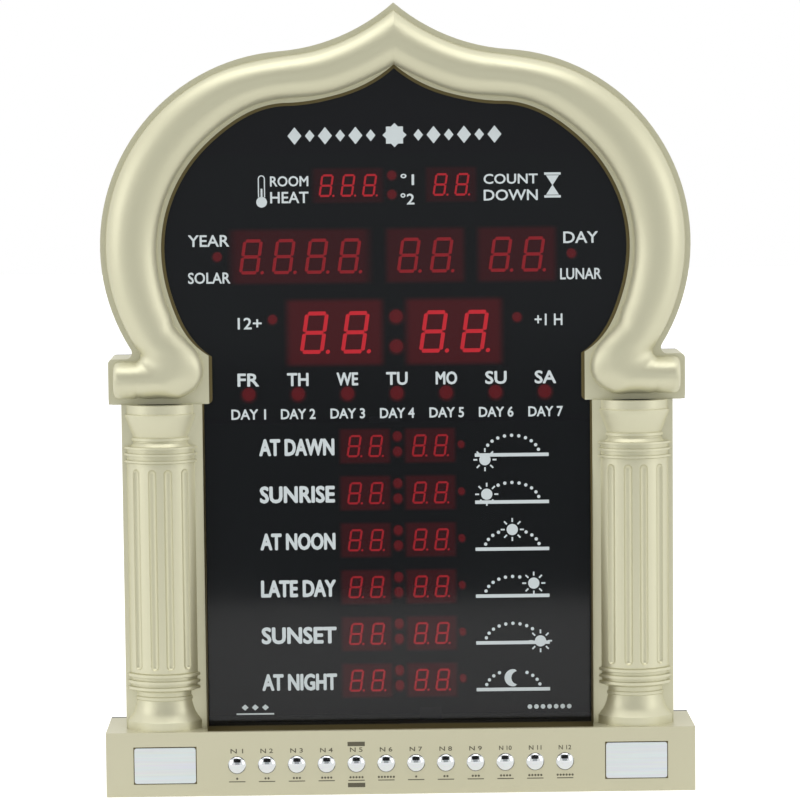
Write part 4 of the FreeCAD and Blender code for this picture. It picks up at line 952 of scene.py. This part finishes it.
class CLOCK_OT_lamps(Operator):
    """Puts a soft red light in front of every round lamp"""
    bl_idname = "clock.lamps"
    bl_label = "Lamp Halos"

    def execute(self, context):
        bm = bmesh.new()
        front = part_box("row_1_digits")[0][1] - LAMP_OFF * MM
        for group in LAMP_GROUPS:
            for side, level, width, height in separate_boxes(group):
                reach = (width - 2 * COLLAR) * HALO_WIDE
                add_card(bm, side, level, reach, reach, front)
        card = halo("lamp_halo", colours().red, 0.55, 0.9, 1.0)
        finished(bm, "lamp_halos", card, smooth=False)
        return {"FINISHED"}


# Print

def add_text(bm, text, side, level, height, width, front, weight=0.0):
    """Lettering, fitted to a height and a width in millimetres, with its middle at a place. A width
    of 0 keeps the letters' own shape. A weight thickens the strokes: the lettering is laid
    over itself a little up, down and to both sides."""
    curve = bpy.data.curves.new("lettering", "FONT")
    curve.body = text
    curve.resolution_u = 3
    writing = bpy.data.objects.new("lettering", curve)
    bpy.context.scene.collection.objects.link(writing)
    bpy.context.view_layer.update()
    mesh = bpy.data.meshes.new_from_object(writing.evaluated_get(bpy.context.evaluated_depsgraph_get()))
    bpy.data.objects.remove(writing)
    bpy.data.curves.remove(curve)
    xs = [vert.co.x for vert in mesh.vertices]
    ys = [vert.co.y for vert in mesh.vertices]
    tall = (height - 2 * weight) * MM / (max(ys) - min(ys))
    wide = (width - 2 * weight) * MM / (max(xs) - min(xs)) if width else tall
    fit = Matrix.Diagonal((wide, tall, 1.0, 1.0))
    centre = Matrix.Translation((-(max(xs) + min(xs)) / 2, -(max(ys) + min(ys)) / 2, 0.0))
    count = len(bm.verts)
    steps = [(0, 0), (1, 0), (-1, 0), (0, 1), (0, -1), (0.7, 0.7), (-0.7, 0.7), (0.7, -0.7), (-0.7, -0.7)]
    for layer, (right, up) in enumerate(steps if weight else steps[:1]):
        laid = mesh.copy()
        place = upright(side + right * weight, front - layer * 0.002 * MM, level + up * weight)
        laid.transform(place @ fit @ centre)
        bm.from_mesh(laid)
        bpy.data.meshes.remove(laid)
    bpy.data.meshes.remove(mesh)
    bm.verts.ensure_lookup_table()
    return bm.verts[count:]


def add_disc(bm, side, level, radius, front, segments=24, stretch=1.0, turn=0.0):
    """A flat disc, or a polygon of few sides."""
    place = (upright(side, front, level) @ Matrix.Diagonal((1.0, stretch, 1.0, 1.0))
             @ Matrix.Rotation(math.radians(turn), 4, "Z"))
    return bmesh.ops.create_circle(bm, cap_ends=True, segments=segments, radius=radius * MM,
                                   matrix=place)["verts"]


def add_bar(bm, side, level, width, height, front, turn=0.0):
    """A flat bar."""
    place = (upright(side, front, level) @ Matrix.Rotation(math.radians(turn), 4, "Z")
             @ Matrix.Diagonal((width * MM, height * MM, 1.0, 1.0)))
    return bmesh.ops.create_grid(bm, x_segments=1, y_segments=1, size=0.5, matrix=place)["verts"]


def add_half_ring(bm, side, level, outer, inner, front):
    """The upper half of a flat ring, a short line swept round."""
    low = bm.verts.new((inner * MM, 0.0, 0.0))
    high = bm.verts.new((outer * MM, 0.0, 0.0))
    edge = bm.edges.new((low, high))
    before = set(bm.verts) - {low, high}
    bmesh.ops.spin(bm, geom=[low, high, edge], cent=(0, 0, 0), axis=(0, 0, 1), angle=math.pi, steps=10)
    verts = [vert for vert in bm.verts if vert not in before]
    bmesh.ops.transform(bm, verts=verts, matrix=upright(side, front, level))
    return verts


def printed(bm, verts, name, tone):
    """Finishes a print: a thin even layer of ink."""
    thickened(bm, verts, sizes().ink_thick)
    bmesh.ops.recalc_face_normals(bm, faces=bm.faces)
    finished(bm, name, ink(name.split("_")[0] + "_ink", tone), smooth=False)


class CLOCK_OT_window_print(Operator):
    """Prints the words and numbers on the window"""
    bl_idname = "clock.window_print"
    bl_label = "Window Print"

    def execute(self, context):
        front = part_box("display_window")[0][1]
        bm = bmesh.new()
        verts = []
        # Each word's side, level, height and width in millimetres
        words = [
            ("ROOM", -66.7, 388.6, 6.6, 24.2), ("HEAT", -66.7, 378.4, 7.2, 24.2),
            ("°1", 7.8, 389.0, 7.2, 8.6), ("°2", 7.8, 376.8, 7.2, 8.8),
            ("COUNT", 73.0, 388.8, 6.4, 34.2), ("DOWN", 73.0, 378.6, 7.0, 34.2),
            ("YEAR", -118.0, 351.5, 7.4, 26.0), ("SOLAR", -118.0, 328.0, 7.2, 26.7),
            ("DAY", 117.0, 351.5, 7.4, 22.0), ("LUNAR", 117.0, 328.4, 7.2, 26.2),
            ("12+", -92.8, 299.0, 7.4, 15.2), ("+1 H", 96.4, 299.6, 7.4, 17.7),
        ]
        for text, side, level, height, width in words:
            verts += add_text(bm, text, side, level, height, width, front, 0.16)
        for index, lamp in enumerate(separate_boxes("weekday_lamps")):
            verts += add_text(bm, WEEKDAYS[index], lamp[0], 263.1, 8.4, 13.7, front, 0.3)
            verts += add_text(bm, "DAY %d" % (index + 1), lamp[0], 241.2, 6.6, 22.0, front, 0.2)
        for text, level in zip(ROW_NAMES, row_levels()):
            verts += add_text(bm, text, -64.0, level, 11.0, 47.8, front, 0.5)
        printed(bm, verts, "window_words", colours().ink)
        return {"FINISHED"}


class CLOCK_OT_window_signs(Operator):
    """Prints the small pictures on the window"""
    bl_idname = "clock.window_signs"
    bl_label = "Window Signs"

    def execute(self, context):
        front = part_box("display_window")[0][1]
        bm = bmesh.new()
        verts = add_thermometer(bm, -84.2, 382.6, front)
        verts += add_hourglass(bm, 99.4, 384.6, front)
        verts += add_star_line(bm, 417.0, front)
        verts += add_corner_marks(bm, 92.6, 51.5, front)
        for index, level in enumerate(row_levels()):
            verts += add_day_sign(bm, index, 72.5, level, front)
        printed(bm, verts, "window_signs", colours().ink)
        return {"FINISHED"}


def add_thermometer(bm, side, level, front):
    """A tube over a bulb, with its thread."""
    verts = add_disc(bm, side, level - 7.0, 3.4, front)
    verts += add_bar(bm, side - 1.9, level + 1.9, 0.7, 11.6, front)
    verts += add_bar(bm, side + 1.9, level + 1.9, 0.7, 11.6, front)
    verts += add_bar(bm, side, level - 1.5, 1.2, 6.0, front)
    verts += add_half_ring(bm, side, level + 7.7, 2.25, 1.55, front)
    return verts


def add_hourglass(bm, side, level, front):
    """Two triangles point to point between two bars."""
    verts = add_bar(bm, side, level + 7.2, 10.4, 1.5, front)
    verts += add_bar(bm, side, level - 7.2, 10.4, 1.5, front)
    verts += add_disc(bm, side, level + 4.0, 4.7, front, 3, 0.9, 180.0)
    verts += add_disc(bm, side, level - 4.0, 4.7, front, 3, 0.9, 0.0)
    return verts


def add_sun(bm, side, level, radius, front):
    """A disc with eight rays."""
    verts = add_disc(bm, side, level, radius * 0.72, front)
    for step in range(8):
        angle = math.radians(45 * step)
        verts += add_bar(bm, side + math.cos(angle) * radius * 1.22, level + math.sin(angle) * radius * 1.22,
                         radius * 0.5, radius * 0.2, front, 45.0 * step)
    return verts


def add_moon(bm, side, level, radius, front):
    """A crescent: a disc bitten by a second one."""
    disc = bmesh.new()
    bmesh.ops.create_circle(disc, cap_ends=True, segments=32, radius=radius * MM)
    for vert in disc.verts:
        if vert.co.x > radius * 0.25 * MM:
            angle = math.atan2(vert.co.y, vert.co.x - radius * 0.55 * MM)
            reach = radius * 0.78 * MM
            vert.co.x = radius * 0.55 * MM - abs(math.cos(angle)) * reach
            vert.co.y = math.sin(angle) * reach
    mesh = bpy.data.meshes.new("crescent")
    disc.to_mesh(mesh)
    disc.free()
    mesh.transform(upright(side, front, level))
    count = len(bm.verts)
    bm.from_mesh(mesh)
    bpy.data.meshes.remove(mesh)
    bm.verts.ensure_lookup_table()
    return bm.verts[count:]


def add_star_line(bm, level, front):
    """A plain ornament: an eight-pointed star between two rows of lozenges."""
    verts = add_disc(bm, 0.0, level, 7.6, front, 4, 1.0, 0.0)
    verts += add_disc(bm, 0.0, level, 7.6, front - OVERPRINT * MM, 4, 1.0, 45.0)
    for sign in (-1, 1):
        for step in range(6):
            radius = 4.4 if step % 2 else 3.0
            verts += add_disc(bm, sign * (15.0 + 9.6 * step), level, radius, front, 4, 1.25)
    return verts


def add_corner_marks(bm, side, level, front):
    """Small plain marks in the lower corners: lozenges over a bar, and a row of dots."""
    verts = add_bar(bm, -side, level - 2.6, 24.0, 1.0, front)
    for step in (-1, 0, 1):
        verts += add_disc(bm, -side + step * 6.5, level + 1.6, 2.2, front, 4, 0.9)
    for step in range(-3, 4):
        verts += add_disc(bm, side + 3.0 + step * 4.2, level, 1.5, front, 12)
    return verts


# Where the sun stands on its way in each row, in degrees from the left end of the horizon
SUN_TURNS = (-14.0, 24.0, 90.0, 140.0, 176.0)
# In millimetres: half the width and the height of the sun's way, how far the horizon lies below the
# row's middle, and how near to the sun or the moon the dots of the way may come
SIGN_REACH = 17.6
SIGN_RISE = 12.4
SIGN_DROP = 6.2
SIGN_CLEAR = 8.0
# What lies over other print stands this much higher.
OVERPRINT = 0.02


def add_day_sign(bm, index, side, level, front):
    """The time of day: the sun on its way over a horizon, and the moon at night."""
    base = level - SIGN_DROP
    raised = front - OVERPRINT * MM

    def way(degrees):
        angle = math.radians(degrees)
        return side - math.cos(angle) * SIGN_REACH, base + math.sin(angle) * SIGN_RISE

    verts = add_bar(bm, side, base, 47.0, 2.2, front)
    if index < len(SUN_TURNS):
        spot = way(SUN_TURNS[index])
        verts += add_sun(bm, spot[0], spot[1], 5.0, raised)
    else:
        spot = (side, base + 7.4)
        verts += add_moon(bm, spot[0], spot[1], 5.6, raised)
    for step in range(1, 12):
        dot = way(step * 15)
        if math.dist(dot, spot) > SIGN_CLEAR:
            verts += add_disc(bm, dot[0], dot[1], 1.1, front, 10)
    return verts


# This button has a dark box above and below its print.
BOXED_BUTTON = 5


class CLOCK_OT_button_print(Operator):
    """Prints a plain number over each button and a row of counting dots below it"""
    bl_idname = "clock.button_print"
    bl_label = "Button Print"

    def execute(self, context):
        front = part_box("base_housing")[0][1]
        bm = bmesh.new()
        verts = []
        for index, (side, level) in enumerate(button_spots()):
            verts += add_text(bm, "N %d" % (index + 1), side, level + 9.0, 2.9, 8.0, front, 0.06)
            verts += add_bar(bm, side, level - 10.7, 10.4, 0.6, front)
            dots = index % 6 + 1
            for dot in range(dots):
                verts += add_disc(bm, side + (dot - (dots - 1) / 2) * 1.9, level - 8.7, 0.72, front, 12)
        side, level = button_spots()[BOXED_BUTTON - 1]
        verts += add_bar(bm, side, level + 12.7, 11.0, 2.8, front)
        verts += add_bar(bm, side, level - 13.7, 11.0, 2.8, front)
        printed(bm, verts, "button_marks", colours().mark)
        return {"FINISHED"}


class CLOCK_PT_parts(Panel):
    """Lists the steps that dress the clock"""
    bl_idname = "CLOCK_PT_parts"
    bl_label = "Prayer Clock"
    bl_space_type = "VIEW_3D"
    bl_region_type = "UI"
    bl_category = "Clock"

    def draw(self, context):
        for operator in OPERATORS:
            self.layout.operator(operator.bl_idname)
        for group in (context.scene.clock_colours, context.scene.clock_sizes):
            for name in group.__annotations__:
                self.layout.prop(group, name)


OPERATORS = (CLOCK_OT_stage, CLOCK_OT_arch, CLOCK_OT_columns, CLOCK_OT_base, CLOCK_OT_window,
             CLOCK_OT_inner_parts, CLOCK_OT_buttons, CLOCK_OT_plates, CLOCK_OT_digits, CLOCK_OT_lamps,
             CLOCK_OT_window_print, CLOCK_OT_window_signs, CLOCK_OT_button_print)
CLASSES = (ClockColours, ClockSizes) + OPERATORS + (CLOCK_PT_parts,)


def register():
    for kind in CLASSES:
        bpy.utils.register_class(kind)
    bpy.types.Scene.clock_colours = PointerProperty(type=ClockColours)
    bpy.types.Scene.clock_sizes = PointerProperty(type=ClockSizes)


def unregister():
    del bpy.types.Scene.clock_sizes
    del bpy.types.Scene.clock_colours
    for kind in reversed(CLASSES):
        bpy.utils.unregister_class(kind)


def main():
    register()
    for operator in OPERATORS:
        getattr(bpy.ops.clock, operator.bl_idname.split(".")[1])()


if __name__ == "__main__":
    main()
